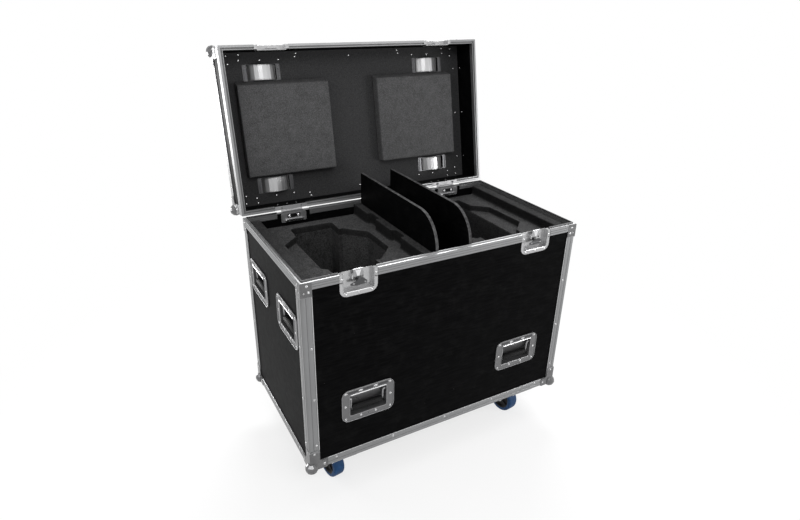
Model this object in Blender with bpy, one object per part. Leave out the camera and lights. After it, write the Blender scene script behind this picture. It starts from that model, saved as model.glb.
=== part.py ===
"""Lighting flight case: a rolling two-bay case with a hinged lid, shown open. Metres, +Z up."""

import math

import bpy
import bmesh
from mathutils import Matrix, Vector

# Case, outside the edging
case_width = 0.890
case_depth = 0.490
base_height = 0.592
lid_height = 0.110
lid_open_degrees = 101.0
mating_gap = 0.0005
fit_gap = 0.0003
loose_gap = 0.0005
relief_gap = 0.001

# Boards
board_thickness = 0.009
board_margin_gap = 0.0007
divider_face = 0.0545
divider_rise = 0.095
divider_radius = 0.095
divider_arc_steps = 10

# Edging: two angles joined by a web, the board's edge between them
edging_leg = 0.030
edging_wall = 0.0015
edging_inner_leg = 0.012
edging_inner_wall = 0.0012
edging_radius = 0.0035
edging_corner_steps = 3
web_share = 0.707

# Closing profile round the mouth
rim_face = 0.022
rim_inner_leg = 0.017
rim_inner_wall = 0.0012
tongue_start = 0.0065
tongue_end = 0.0095
tongue_height = 0.004
groove_side_gap = 0.0006
groove_inner_gap = 0.0012
lid_rim_face = 0.026
lid_rim_solid = 0.0065
rim_post_gap = 0.0004

# Corner fittings
bracket_height = 0.042
plate_proud = 0.0013
plate_sink = 0.0006
ball_radius = 0.019
ball_centre = 0.006
ball_sink = 0.0013
ball_leg_rail = 0.052
ball_leg_post = 0.068
ball_leg_width = 0.027
ball_leg_chamfer = 0.006
ball_leg_web = 0.008
ball_segments = 12
ball_rings = 6

# Rivets
rivet_radius = 0.0036
rivet_top_share = 0.6
rivet_height = 0.0012
rivet_sink = 0.0006
rivet_sides = 6
post_rivet_height_shares = (0.1444, 0.4071, 0.6791)
edging_rivet_in = 0.0215
rail_rivet_end = 0.079
rail_rivet_count = 5
depth_rivet_end = 0.080
depth_rivet_count = 3

# Recessed dishes of the latches and the lid stays
dish_from_end = 0.156
dish_flange_side = 0.0105
dish_flange_below = 0.0124
dish_flange_radius = 0.020
dish_flange_wall = 0.0015
dish_opening_width = 0.085
dish_opening_height = 0.0526
dish_depth = 0.014
dish_wall = 0.0015
dish_cut_clearance = 0.0005
ear_wall = 0.0015
keeper_flange_above = 0.013
keeper_flange_radius = 0.012
keeper_opening_height = 0.025
dish_rivet_low = 0.0065
dish_rivet_pitch = 0.036
dish_rivet_count = 3
dish_rivet_side_margin = 0.0055
dish_rivet_side_low = 0.014
through = 0.002
plate_corner_steps = 4
bore_sides = 12
pin_sides = 16

# Butterfly, hook and the keeper's tongue
butterfly_length = 0.050
butterfly_width = 0.025
butterfly_wall = 0.002
butterfly_set_back = 0.001
butterfly_low = 0.027
spindle_radius = 0.005
stud_offset = 0.017
stud_radius = 0.0025
stud_height = 0.0009
butterfly_end_steps = 8
hook_half_width = 0.014
hook_front = 0.0035
hook_wall = 0.0015
hook_bottom = 0.015
hook_top = 0.005
hook_nose = 0.0027
hook_nose_height = 0.002
guide_wall = 0.0037
guide_top = 0.009
guide_bottom = 0.020
tongue_wall = 0.003
tongue_side = 0.0025
tongue_bottom = 0.008
tongue_top = 0.010
window_bottom = 0.0034
tongue_root = 0.0065

# Lid stays
hinge_out = 0.004
knuckle_sides = 16
knuckle_start = 0.020
knuckle_end = 0.034
hinge_pin_radius = 0.0018
stay_opening_width = 0.068
stay_opening_height = 0.022
stay_depth = 0.0125
stay_lip = 0.003
heel_half_width = 0.015
heel_reach = 0.007
heel_back = 0.003

# Handles
handle_flange_side = 0.0245
handle_flange_rise = 0.0185
handle_flange_radius = 0.022
handle_opening_width = 0.114
handle_opening_height = 0.069
handle_depth = 0.022
handle_top_depth = 0.0105
handle_slope_start = -0.010
handle_pivot_depth = 0.008
handle_pivot_drop = 0.0165
grip_depth = 0.011
grip_rise = 0.0185
grip_end_margin = 0.003
grip_radius = 0.009
bail_rod_radius = 0.0032
bail_side_margin = 0.007
front_handle_margin = 0.0695
front_handle_height = 0.183
side_handle_margin = 0.0075
side_handle_drop = 0.165
handle_rivet_count = 4
handle_rivet_rise_margin = 0.010
handle_rivet_end_margin = 0.01175
handle_rivet_side_margin = 0.0115
handle_corner_steps = 3
grip_sides = 12
rod_sides = 6

# Castors
castor_side = 0.110
castor_front = 0.0725
castor_trail = 0.035
castor_yaw_degrees = 8.0
wheel_radius = 0.050
wheel_half_width = 0.0182
tread_shoulder = 0.004
hub_face_radius = 0.038
hub_recess = 0.007
hub_radius = 0.014
hub_half_width = 0.017
axle_radius = 0.005
axle_head_radius = 0.008
axle_head = 0.0045
wheel_sides = 20
fork_wall = 0.003
fork_side_gap = 0.0006
fork_wheel_gap = 0.0045
fork_crown_height = 0.008
fork_crown_radius = 0.029
fork_lug_radius = 0.013
fork_nose = 0.024
fork_lug_steps = 4
axle_head_sides = 6
race_radius = 0.027
race_height = 0.0105
kingpin_radius = 0.006
kingpin_top_margin = 0.003
castor_plate_half_length = 0.052
castor_plate_half_width = 0.042
castor_plate_wall = 0.0035
castor_board_outward = 0.065
castor_board_inward = 0.062
castor_board_margin = 0.031
castor_board_thickness = 0.018
castor_board_corner = 0.014
castor_sides = 16

# Foam
foam_main = 0.042
foam_border = 0.035
foam_border_top = 0.010
foam_rail = 0.028
foam_rail_top = 0.006
notch_length = 0.056
notch_depth = 0.015
notch_place_shares = (0.3837, 0.7061)
pocket_step = 0.021
pocket_depth = 0.330
pocket_core_shares = (
    (0.1472, 0.9000),
    (0.2989, 0.9000),
    (0.2966, 0.7633),
    (0.3124, 0.7714),
    (0.3798, 0.6429),
    (0.3798, 0.3755),
    (0.3124, 0.2490),
    (0.2966, 0.2571),
    (0.2989, 0.1204),
    (0.1472, 0.1204),
    (0.1416, 0.2429),
    (0.1416, 0.7776),
)
pocket_lobe_shares = (
    (0.1472, 0.7776),
    (0.1472, 0.2429),
    (0.0798, 0.3571),
    (0.0843, 0.6735),
)
pad_face = 0.063
pad_front_margin = 0.108
pad_back_margin = 0.104
pad_slope = 0.0125
pad_left_end_margin = 0.054
pad_left_middle_margin = 0.095
pad_right_end_margin = 0.066
pad_right_middle_margin = 0.079

# Wheel cups in the lid
cup_side = 0.145
cup_front = 0.071
cup_radius = 0.050
cup_half_chord = 0.044
cup_half_width = 0.0215
cup_wall = 0.0015
cup_flange = 0.018
cup_flange_chamfer = 0.006
cup_steps = 8

# Derived: boards and edging
half_width = case_width / 2
half_depth = case_depth / 2
board_inset = edging_wall + fit_gap
inner_face = board_inset + board_thickness
edging_slot = inner_face + fit_gap
rim_width = edging_slot + edging_inner_wall
board_margin = rim_width + board_margin_gap
inner_clearance = rim_width + fit_gap
groove_start = tongue_start - groove_side_gap
groove_end = tongue_end + groove_inner_gap
groove_depth = tongue_height + relief_gap
post_rivet_heights = [share * base_height for share in post_rivet_height_shares]

# Derived: dishes and latches
dish_offset = half_width - dish_from_end
dish_box_half = dish_opening_width / 2 + dish_wall
dish_flange_width = dish_opening_width + 2 * dish_flange_side
dish_flange_height = dish_opening_height + dish_flange_below
keeper_flange_height = keeper_opening_height + keeper_flange_above
dish_rivet_side = dish_flange_width / 2 - dish_rivet_side_margin
rim_cut = dish_flange_width / 2 + fit_gap
spindle_bore = spindle_radius + loose_gap
spindle_end = dish_depth - fit_gap
window_half_width = hook_half_width + loose_gap
window_top = hook_top + relief_gap
tongue_half_width = window_half_width + tongue_side
tongue_front = hook_front + hook_wall + hook_nose + fit_gap
tongue_back = tongue_front + tongue_wall
knuckle_radius = hinge_out - fit_gap
hinge_bore_radius = hinge_pin_radius + fit_gap

# Derived: handles
handle_flange_width = handle_opening_width + 2 * handle_flange_side
handle_flange_height = handle_opening_height + 2 * handle_flange_rise
handle_rivet_row = handle_flange_height / 2 - handle_rivet_rise_margin
handle_rivet_reach = handle_flange_width / 2 - handle_rivet_end_margin
handle_rivet_side = handle_flange_width / 2 - handle_rivet_side_margin
handle_pivot_height = handle_opening_height / 2 - handle_pivot_drop
grip_low = handle_opening_height / 2 - grip_rise
bail_half_width = handle_opening_width / 2 - bail_side_margin
bail_pin_end = handle_opening_width / 2 + dish_wall - fit_gap
bail_pin_bore = bail_rod_radius + loose_gap
grip_half_length = bail_half_width - grip_end_margin
front_handle_from_end = edging_leg + front_handle_margin + handle_flange_width / 2
side_handle_from_end = edging_leg + side_handle_margin + handle_flange_width / 2
side_handle_height = base_height - side_handle_drop

# Derived: castors, and the height of the base on them
axle_bore = axle_radius + fit_gap
fork_inner = wheel_half_width + fork_side_gap
axle_end = fork_inner + fork_wall + axle_head
fork_crown_bottom = 2 * wheel_radius + fork_wheel_gap
fork_crown_top = fork_crown_bottom + fork_crown_height
race_top = fork_crown_top + race_height
kingpin_bore = kingpin_radius + fit_gap
kingpin_top = race_top - kingpin_top_margin
castor_board_start = castor_side - castor_board_outward
castor_board_end = castor_side + castor_board_inward
base_bottom = race_top + castor_plate_wall + castor_board_thickness + fit_gap - board_inset
parting = base_bottom + base_height


# Helpers


def clear_scene():
    for old in list(bpy.data.objects):
        bpy.data.objects.remove(old, do_unlink=True)


def make_material(name, colour, roughness, metallic):
    made = bpy.data.materials.new(name)
    made.use_nodes = True
    shader = made.node_tree.nodes["Principled BSDF"]
    shader.inputs["Base Color"].default_value = (*colour, 1.0)
    shader.inputs["Roughness"].default_value = roughness
    shader.inputs["Metallic"].default_value = metallic
    made.diffuse_color = (*colour, 1.0)
    return made


def helper(form):
    """A scratch object from a bmesh, its faces turned outwards."""
    bmesh.ops.recalc_face_normals(form, faces=form.faces)
    mesh = bpy.data.meshes.new("shape")
    form.to_mesh(mesh)
    form.free()
    made = bpy.data.objects.new("shape", mesh)
    bpy.context.scene.collection.objects.link(made)
    return made


def loft(rings):
    """A closed solid through rings of as many points each, capped at both ends."""
    form = bmesh.new()
    rows = [[form.verts.new(point) for point in ring] for ring in rings]
    count = len(rows[0])
    for first, second in zip(rows, rows[1:]):
        for i in range(count):
            j = (i + 1) % count
            form.faces.new((first[i], first[j], second[j], second[i]))
    form.faces.new(rows[0])
    form.faces.new(rows[-1])
    return helper(form)


def placed(axis, along, a, b):
    """The point whose coordinate on the axis is along, and the other two a and b in X, Y, Z order."""
    if axis == "X":
        return (along, a, b)
    if axis == "Y":
        return (a, along, b)
    return (a, b, along)


def prism(outline, axis, start, end):
    return loft([[placed(axis, at, a, b) for a, b in outline] for at in (start, end)])


def block(x, y, z):
    (x0, x1), (y0, y1), (z0, z1) = sorted(x), sorted(y), sorted(z)
    return prism(((x0, y0), (x1, y0), (x1, y1), (x0, y1)), "Z", z0, z1)


def circle(centre, radius, sides, turn_share=0.5):
    """Points round a centre, the first turned by a share of one side from the first axis."""
    points = []
    for i in range(sides):
        angle = math.tau * (i + turn_share) / sides
        points.append((centre[0] + radius * math.cos(angle), centre[1] + radius * math.sin(angle)))
    return points


def rod(axis, centre, radius, start, end, sides, turn_share=0.5):
    return prism(circle(centre, radius, sides, turn_share), axis, min(start, end), max(start, end))


def bar(start, end, radius, sides):
    """A round bar between two points."""
    start, end = Vector(start), Vector(end)
    along = (end - start).normalized()
    across = along.orthogonal().normalized()
    other = along.cross(across)
    rings = []
    for at in (start, end):
        ring = [at + radius * (across * a + other * b) for a, b in circle((0, 0), 1, sides)]
        rings.append(ring)
    return loft(rings)


def rounded_corner(centre, radius, from_degrees, steps):
    points = []
    for i in range(steps + 1):
        angle = math.radians(from_degrees + 90 * i / steps)
        points.append((centre[0] + radius * math.cos(angle), centre[1] + radius * math.sin(angle)))
    return points


def rounded_plate(half_across, low, high, low_radius, high_radius, steps=plate_corner_steps):
    """An outline with its own radius at the two low and the two high corners; zero leaves them square."""
    corners = (
        (half_across, high, high_radius, -1, -1, 0),
        (-half_across, high, high_radius, 1, -1, 90),
        (-half_across, low, low_radius, 1, 1, 180),
        (half_across, low, low_radius, -1, 1, 270),
    )
    points = []
    for across, height, radius, in_x, in_z, turn in corners:
        if radius:
            middle = (across + in_x * radius, height + in_z * radius)
            points += rounded_corner(middle, radius, turn, steps)
        else:
            points.append((across, height))
    return points


def fuse(name, solids, cuts=()):
    """One mesh: the solids joined, then the cuts taken away."""
    body = solids[0]
    groups = []
    for operation, others in (("UNION", solids[1:]), ("DIFFERENCE", cuts)):
        if not others:
            continue
        group = bpy.data.collections.new(name + "_" + operation.lower())
        bpy.context.scene.collection.children.link(group)
        for other in others:
            group.objects.link(other)
        groups.append(group)
        step = body.modifiers.new(operation.title(), "BOOLEAN")
        step.operation = operation
        step.operand_type = "COLLECTION"
        step.collection = group
        step.solver = "EXACT"
    bpy.context.view_layer.update()
    graph = bpy.context.evaluated_depsgraph_get()
    mesh = bpy.data.meshes.new_from_object(body.evaluated_get(graph))
    mesh.name = name
    for used in [*solids, *cuts]:
        scratch = used.data
        bpy.data.objects.remove(used, do_unlink=True)
        bpy.data.meshes.remove(scratch)
    for group in groups:
        bpy.data.collections.remove(group)
    return mesh


def scratch(mesh):
    made = bpy.data.objects.new("shape", mesh)
    bpy.context.scene.collection.objects.link(made)
    return made


def add_piece(name, mesh, paint, parent=None, location=(0, 0, 0), turn=0.0, smooth=False):
    """A named piece of the case, turned about Z. Pieces of one shape share a mesh."""
    made = bpy.data.objects.new(name, mesh)
    bpy.context.scene.collection.objects.link(made)
    if not mesh.materials:
        mesh.materials.append(paint)
    if smooth:
        mesh.shade_smooth()
        mesh.set_sharp_from_angle(angle=math.radians(35))
    made.parent = parent
    made.location = location
    made.rotation_euler = (0, 0, turn)
    return made


def add_frame(name, location, tilt=0.0, parent=None):
    made = bpy.data.objects.new(name, None)
    bpy.context.scene.collection.objects.link(made)
    made.location = location
    made.rotation_euler = (tilt, 0, 0)
    made.parent = parent
    return made


# Parts of the edging, heights from the bottom of the base


def edging_section():
    """The double angle, from its outer corner; the second half mirrors the first on the diagonal."""
    slot, inner = edging_slot, edging_slot + edging_inner_wall
    web = web_share * edging_wall
    half = [
        (edging_leg, 0),
        (edging_leg, edging_wall),
        (edging_wall + web, edging_wall),
        (slot + web, slot),
        (slot + edging_inner_leg, slot),
        (slot + edging_inner_leg, inner),
    ]
    corner = rounded_corner((edging_radius, edging_radius), edging_radius, 180, edging_corner_steps)
    return corner + half + [(inner, inner)] + [(b, a) for a, b in reversed(half)]


def angle_section():
    """The lid's single angle, outside its boards."""
    half = [(edging_leg, 0), (edging_leg, edging_wall)]
    corner = rounded_corner((edging_radius, edging_radius), edging_radius, 180, edging_corner_steps)
    return corner + half + [(edging_wall, edging_wall)] + [(b, a) for a, b in reversed(half)]


def post(section, side, end, low, high):
    outline = [(side * (half_width - a), end * (half_depth - b)) for a, b in section]
    return prism(outline, "Z", low, high)


def rail_along_x(section, end, edge, inward):
    outline = [(end * (half_depth - a), edge + inward * b) for a, b in section]
    return prism(outline, "X", -half_width, half_width)


def rail_along_y(section, side, edge, inward):
    outline = [(side * (half_width - a), edge + inward * b) for a, b in section]
    return prism(outline, "Y", -half_depth, half_depth)


def ball_corner(side, end, edge, inward):
    """Three plates that meet over a corner, with a ball; edge is the corner's height, inward its way in."""
    out, sink, width, web = plate_proud, plate_sink, ball_leg_width, ball_leg_web

    def plate(first, second):
        c = ball_leg_chamfer
        return [
            (-out, -out), (first - c, -out), (first, c), (first, width - c), (first - c, width),
            (width + web, width), (width, width + web), (width, second - c), (width - c, second),
            (c, second), (-out, second - c),
        ]

    def x_of(a):
        return side * (half_width - a)

    def y_of(b):
        return end * (half_depth - b)

    def z_of(c):
        return edge + inward * c

    front = [(x_of(a), z_of(b)) for a, b in plate(ball_leg_rail, ball_leg_post)]
    flank = [(y_of(a), z_of(b)) for a, b in plate(ball_leg_rail, ball_leg_post)]
    flat = [(x_of(a), y_of(b)) for a, b in plate(ball_leg_rail, ball_leg_rail)]
    form = bmesh.new()
    centre = (x_of(ball_centre), y_of(ball_centre), z_of(ball_centre))
    bmesh.ops.create_uvsphere(
        form,
        u_segments=ball_segments,
        v_segments=ball_rings,
        radius=ball_radius,
        matrix=Matrix.Translation(centre),
    )
    near, far = ball_sink, ball_centre + ball_radius + through
    corner = block((x_of(near), x_of(far)), (y_of(near), y_of(far)), (z_of(near), z_of(far)))
    return [
        prism(front, "Y", y_of(-out), y_of(sink)),
        prism(flank, "X", x_of(-out), x_of(sink)),
        prism(flat, "Z", z_of(-out), z_of(sink)),
        scratch(fuse("ball", [helper(form)], [corner])),
    ]


def corner_fill(side, end):
    """A cast block where three lengths of edging meet, inside the ball corner and clear of the boards."""
    low, high = edging_wall / 2, edging_slot + edging_inner_wall
    return block(
        (side * (half_width - low), side * (half_width - high)),
        (end * (half_depth - low), end * (half_depth - high)),
        (low, high),
    )


def corner_bracket(side, end):
    out, sink, leg = plate_proud, plate_sink, edging_leg
    outline = [(-out, -out), (leg, -out), (leg, sink), (sink, sink), (sink, leg), (-out, leg)]
    shape = [(side * (half_width - a), end * (half_depth - b)) for a, b in outline]
    return prism(shape, "Z", base_height - bracket_height, base_height - plate_proud)


def rivet(place, outward):
    """A low flat-topped head, sunk a little into what it holds."""
    outward = Vector(outward)
    across = outward.orthogonal().normalized()
    other = outward.cross(across)
    rings = []
    for at, radius in ((-rivet_sink, rivet_radius), (rivet_height, rivet_radius * rivet_top_share)):
        ring = [
            Vector(place) + outward * at + radius * (across * a + other * b)
            for a, b in circle((0, 0), 1, rivet_sides)
        ]
        rings.append(ring)
    return loft(rings)


def spaced(count, pitch):
    """Places either side of the middle."""
    return [pitch * (i - (count - 1) / 2) for i in range(count)]


def spread(count, reach):
    """Places from one end of a reach to the other."""
    return spaced(count, 2 * reach / (count - 1))


def rim_section(direction):
    """The closing profile: distance in from the outer face, height from the parting plane."""
    if direction < 0:
        inner = rim_width - rim_inner_wall
        return [
            (0, -rim_face), (0, 0), (tongue_start, 0), (tongue_start, tongue_height),
            (tongue_end, tongue_height), (tongue_end, 0), (rim_width, 0), (rim_width, -rim_inner_leg),
            (inner, -rim_inner_leg), (inner, -edging_wall), (edging_wall, -edging_wall),
            (edging_wall, -rim_face),
        ]
    low = mating_gap
    inner = rim_width - rim_inner_wall
    return [
        (0, lid_rim_face), (0, low), (groove_start, low), (groove_start, low + groove_depth),
        (groove_end, low + groove_depth), (groove_end, low), (rim_width, low),
        (rim_width, rim_inner_leg), (inner, rim_inner_leg), (inner, lid_rim_solid),
        (edging_wall, lid_rim_solid), (edging_wall, lid_rim_face),
    ]


def rim_side(section, level, side):
    """The run round one end of the case, mitred at its two corners, up to the cuts for the dishes."""
    cut = side * (dish_offset + rim_cut)
    stations = (
        lambda a: (cut, -half_depth + a),
        lambda a: (side * (half_width - a), -half_depth + a),
        lambda a: (side * (half_width - a), half_depth - a),
        lambda a: (cut, half_depth - a),
    )
    return loft([[(*station(a), level + b) for a, b in section] for station in stations])


def rim_middle(section, level, end):
    reach = dish_offset - rim_cut
    outline = [(end * (half_depth - a), level + b) for a, b in section]
    return prism(outline, "X", -reach, reach)


# Recessed fittings, in a frame of their own: X along the face, Y inwards from it, Z up


def dish_flange(height, radius, direction):
    """A plate from the parting plane down (-1) or up (+1), round at its far corners."""
    half = dish_flange_width / 2
    if direction < 0:
        return prism(rounded_plate(half, -height, 0, radius, 0), "Y", 0, dish_flange_wall)
    return prism(rounded_plate(half, mating_gap, height, 0, radius), "Y", 0, dish_flange_wall)


def dish_rivets(height, direction):
    points = [(x, direction * (height - dish_rivet_low)) for x in spaced(dish_rivet_count, dish_rivet_pitch)]
    points += [(side * dish_rivet_side, direction * dish_rivet_side_low) for side in (-1, 1)]
    return [rivet((x, 0, z), (0, -1, 0)) for x, z in points]


def ears(inside, direction, low):
    """Strips that cover the board's edge beside an opening."""
    half = dish_flange_width / 2
    return [
        block(
            (side * inside, side * half),
            (edging_wall / 2, rim_width),
            (low, low + direction * ear_wall),
        )
        for side in (-1, 1)
    ]


def latch_dish():
    box = dish_box_half
    hollow = dish_opening_width / 2
    low = dish_opening_height
    solids = [
        dish_flange(dish_flange_height, dish_flange_radius, -1),
        block((-box, box), (dish_wall / 2, dish_depth + dish_wall), (-low - dish_wall, 0)),
    ]
    solids += ears(hollow, -1, 0)
    solids += dish_rivets(dish_flange_height, -1)
    cuts = [block((-hollow, hollow), (-through, dish_depth), (-low, through))]
    tray = fuse("latch_tray", solids, cuts)
    guides = [
        block(
            (side * (hook_half_width + fit_gap), side * (hook_half_width + guide_wall)),
            (hook_front, dish_depth + dish_wall / 2),
            (-guide_bottom, -guide_top),
        )
        for side in (-1, 1)
    ]
    bore = rod("Y", (0, -butterfly_low), spindle_bore, dish_depth - through, dish_depth + through, bore_sides)
    return fuse("latch_dish", [scratch(tray), *guides], [bore])


def keeper_dish():
    box = dish_box_half
    hollow = dish_opening_width / 2
    high = keeper_opening_height
    solids = [
        dish_flange(keeper_flange_height, keeper_flange_radius, 1),
        block((-box, box), (dish_wall / 2, dish_depth + dish_wall), (mating_gap, high + dish_wall)),
    ]
    solids += ears(hollow, 1, mating_gap)
    solids += dish_rivets(keeper_flange_height, 1)
    cuts = [block((-hollow, hollow), (-through, dish_depth), (-through, high))]
    tray = fuse("keeper_tray", solids, cuts)
    tongue = block(
        (-tongue_half_width, tongue_half_width), (tongue_front, tongue_back), (-tongue_bottom, tongue_top)
    )
    root = block(
        (-tongue_half_width, tongue_half_width),
        ((tongue_front + tongue_back) / 2, dish_depth + dish_wall / 2),
        (tongue_root, tongue_top),
    )
    window = block(
        (-window_half_width, window_half_width),
        (tongue_front - through, tongue_back + through),
        (-window_bottom, window_top),
    )
    return fuse("keeper_dish", [scratch(tray), tongue, root], [window])


def butterfly():
    """An oval plate on a spindle, with two round studs; its origin is on the spindle at the face."""
    front = butterfly_set_back
    back = front + butterfly_wall
    straight = (butterfly_length - butterfly_width) / 2
    radius = butterfly_width / 2
    outline = []
    for turn, side in ((-90, 1), (90, -1)):
        for i in range(butterfly_end_steps + 1):
            angle = math.radians(turn + 180 * i / butterfly_end_steps)
            outline.append((side * straight + radius * math.cos(angle), radius * math.sin(angle)))
    solids = [
        prism(outline, "Y", front, back),
        rod("Y", (0, 0), spindle_radius, (front + back) / 2, spindle_end, bore_sides),
    ]
    for side in (-1, 1):
        solids.append(
            rod("Y", (side * stud_offset, 0), stud_radius, front - stud_height, back - fit_gap, rod_sides)
        )
    return fuse("butterfly", solids)


def hook():
    back = hook_front + hook_wall
    return fuse(
        "hook",
        [
            block((-hook_half_width, hook_half_width), (hook_front, back), (-hook_bottom, hook_top)),
            block(
                (-hook_half_width, hook_half_width),
                (hook_front + hook_wall / 2, back + hook_nose),
                (hook_top - hook_nose_height, hook_top),
            ),
        ],
    )


def knuckle_foot(x, z):
    """A short web from a knuckle's axis to the flange."""
    return block(x, (-hinge_out, dish_flange_wall / 2), z)


def stay_base():
    half = stay_opening_width / 2
    box = half + dish_wall
    low = stay_opening_height
    tray = fuse(
        "stay_tray",
        [
            dish_flange(dish_flange_height, dish_flange_radius, -1),
            block((-box, box), (dish_wall / 2, stay_depth + dish_wall), (-low - dish_wall, 0)),
            block(
                (-box, box),
                (stay_depth + dish_wall / 2, stay_depth + dish_wall + stay_lip),
                (-low - dish_wall, -low),
            ),
            *ears(half, -1, 0),
            *dish_rivets(dish_flange_height, -1),
        ],
        [block((-half, half), (dish_flange_wall, stay_depth), (-low, through))],
    )
    solids = [scratch(tray)]
    for side in (-1, 1):
        reach = (side * knuckle_start, side * knuckle_end)
        solids.append(rod("X", (-hinge_out, 0), knuckle_radius, *reach, knuckle_sides))
        solids.append(knuckle_foot(reach, (-knuckle_radius, 0)))
    pin_reach = knuckle_start + through
    solids.append(rod("X", (-hinge_out, 0), hinge_pin_radius, -pin_reach, pin_reach, bore_sides))
    return fuse("stay_base", solids)


def stay_lid():
    """The lid's half, drawn closed: flange, cover strip, middle knuckle and the heel that stops the lid."""
    half = dish_flange_width / 2
    reach = knuckle_start - fit_gap
    low = mating_gap
    opened = math.radians(lid_open_degrees)
    heel = []
    for out, down in (
        (fit_gap, 0),
        (fit_gap, -heel_reach),
        (hinge_out + heel_back, -heel_reach),
        (hinge_out + heel_back, 0),
    ):
        y, z = hinge_out - out, down
        turned_y = y * math.cos(opened) + z * math.sin(opened)
        turned_z = z * math.cos(opened) - y * math.sin(opened)
        heel.append((turned_y - hinge_out, turned_z))
    solids = [
        dish_flange(keeper_flange_height, keeper_flange_radius, 1),
        block((-half, half), (edging_wall / 2, rim_width), (low, low + ear_wall)),
        rod("X", (-hinge_out, 0), knuckle_radius, -reach, reach, knuckle_sides),
        knuckle_foot((-reach, reach), (low, knuckle_radius)),
        prism(heel, "X", -heel_half_width, heel_half_width),
        *dish_rivets(keeper_flange_height, 1),
    ]
    bore = rod("X", (-hinge_out, 0), hinge_bore_radius, -reach - through, reach + through, bore_sides)
    return fuse("stay_lid", solids, [bore])


def handle_dish():
    """Flange with a tray whose back slopes out towards the top, bored for the bail's pins."""
    wall = dish_wall

    def tray(half, height, grow, front):
        outline = [
            (front, -height), (handle_depth + grow, -height), (handle_depth + grow, handle_slope_start),
            (handle_top_depth + grow, height), (front, height),
        ]
        return prism(outline, "X", -half, half)

    half = handle_opening_width / 2
    high = handle_opening_height / 2
    reach = handle_flange_height / 2
    plate = prism(
        rounded_plate(
            handle_flange_width / 2,
            -reach,
            reach,
            handle_flange_radius,
            handle_flange_radius,
            handle_corner_steps,
        ),
        "Y",
        0,
        dish_flange_wall,
    )
    points = []
    for level in (-handle_rivet_row, handle_rivet_row):
        points += [(x, level) for x in spread(handle_rivet_count, handle_rivet_reach)]
    points += [(side * handle_rivet_side, 0) for side in (-1, 1)]
    solids = [plate, tray(half + wall, high + wall, wall, wall / 2)]
    solids += [rivet((x, 0, z), (0, -1, 0)) for x, z in points]
    pin_reach = half + wall + through
    pivot = (handle_pivot_depth, handle_pivot_height)
    pins = rod("X", pivot, bail_pin_bore, -pin_reach, pin_reach, bore_sides)
    return fuse("handle_dish", solids, [tray(half, high, 0, -through), pins])


def handle_bail():
    """A rod bent to a U with a rubber grip over it; its origin is on the pins."""
    across = grip_depth - handle_pivot_depth
    down = -grip_low - handle_pivot_height
    solids = [rod("X", (across, down), grip_radius, -grip_half_length, grip_half_length, grip_sides)]
    solids.append(rod("X", (across, down), bail_rod_radius, -bail_half_width, bail_half_width, rod_sides))
    for side in (-1, 1):
        x = side * bail_half_width
        over = bail_rod_radius / 2
        solids.append(bar((x, 0, over), (x, across, down - over), bail_rod_radius, rod_sides))
        inner_end = side * (bail_half_width - over)
        solids.append(rod("X", (0, 0), bail_rod_radius, inner_end, side * bail_pin_end, rod_sides))
    return fuse("handle_bail", solids)


# Castors, in the frame of the swivel's axis at the floor


def castor_fork():
    lug = fork_lug_radius
    crown_low = fork_crown_bottom
    axle = (castor_trail, wheel_radius)
    outline = [
        (-fork_nose, crown_low),
        (-fork_nose, fork_crown_top - fork_wall),
        (fork_nose + fork_wall, fork_crown_top - fork_wall),
        (castor_trail + lug, axle[1] + lug / 2),
    ]
    for i in range(fork_lug_steps + 1):
        angle = -math.pi * i / fork_lug_steps
        outline.append((axle[0] + lug * math.cos(angle), axle[1] + lug * math.sin(angle)))
    solids = [rod("Z", (0, 0), fork_crown_radius, crown_low, fork_crown_top, castor_sides)]
    for side in (-1, 1):
        solids.append(prism(outline, "X", *sorted((side * fork_inner, side * (fork_inner + fork_wall)))))
        reach = (side * (axle_end - axle_head), side * axle_end)
        solids.append(rod("X", axle, axle_head_radius, *reach, axle_head_sides, 0))
    solids.append(rod("X", axle, axle_radius, -axle_end + fit_gap, axle_end - fit_gap, pin_sides))
    solids.append(rod("Z", (0, 0), kingpin_radius, crown_low + fit_gap, kingpin_top, pin_sides))
    return fuse("castor_fork", solids)


def castor_wheel():
    """Turned about X: a tread with rounded shoulders on a hub, one corner of each ring straight down."""
    w, h = wheel_half_width, hub_half_width
    web = w - hub_recess
    profile = [
        (-h, axle_bore), (-h, hub_radius), (-web, hub_radius), (-web, hub_face_radius),
        (-w, hub_face_radius), (-w, wheel_radius - tread_shoulder), (-w + tread_shoulder, wheel_radius),
        (w - tread_shoulder, wheel_radius), (w, wheel_radius - tread_shoulder), (w, hub_face_radius),
        (web, hub_face_radius), (web, hub_radius), (h, hub_radius), (h, axle_bore),
    ]
    form = bmesh.new()
    rings = []
    for i in range(wheel_sides):
        angle = math.tau * i / wheel_sides
        rings.append([form.verts.new((x, r * math.cos(angle), r * math.sin(angle))) for x, r in profile])
    for first, second in zip(rings, rings[1:] + rings[:1]):
        for i in range(len(profile)):
            j = (i + 1) % len(profile)
            form.faces.new((first[i], first[j], second[j], second[i]))
    made = helper(form)
    mesh = made.data
    mesh.name = "castor_wheel"
    bpy.data.objects.remove(made, do_unlink=True)
    return mesh


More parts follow.
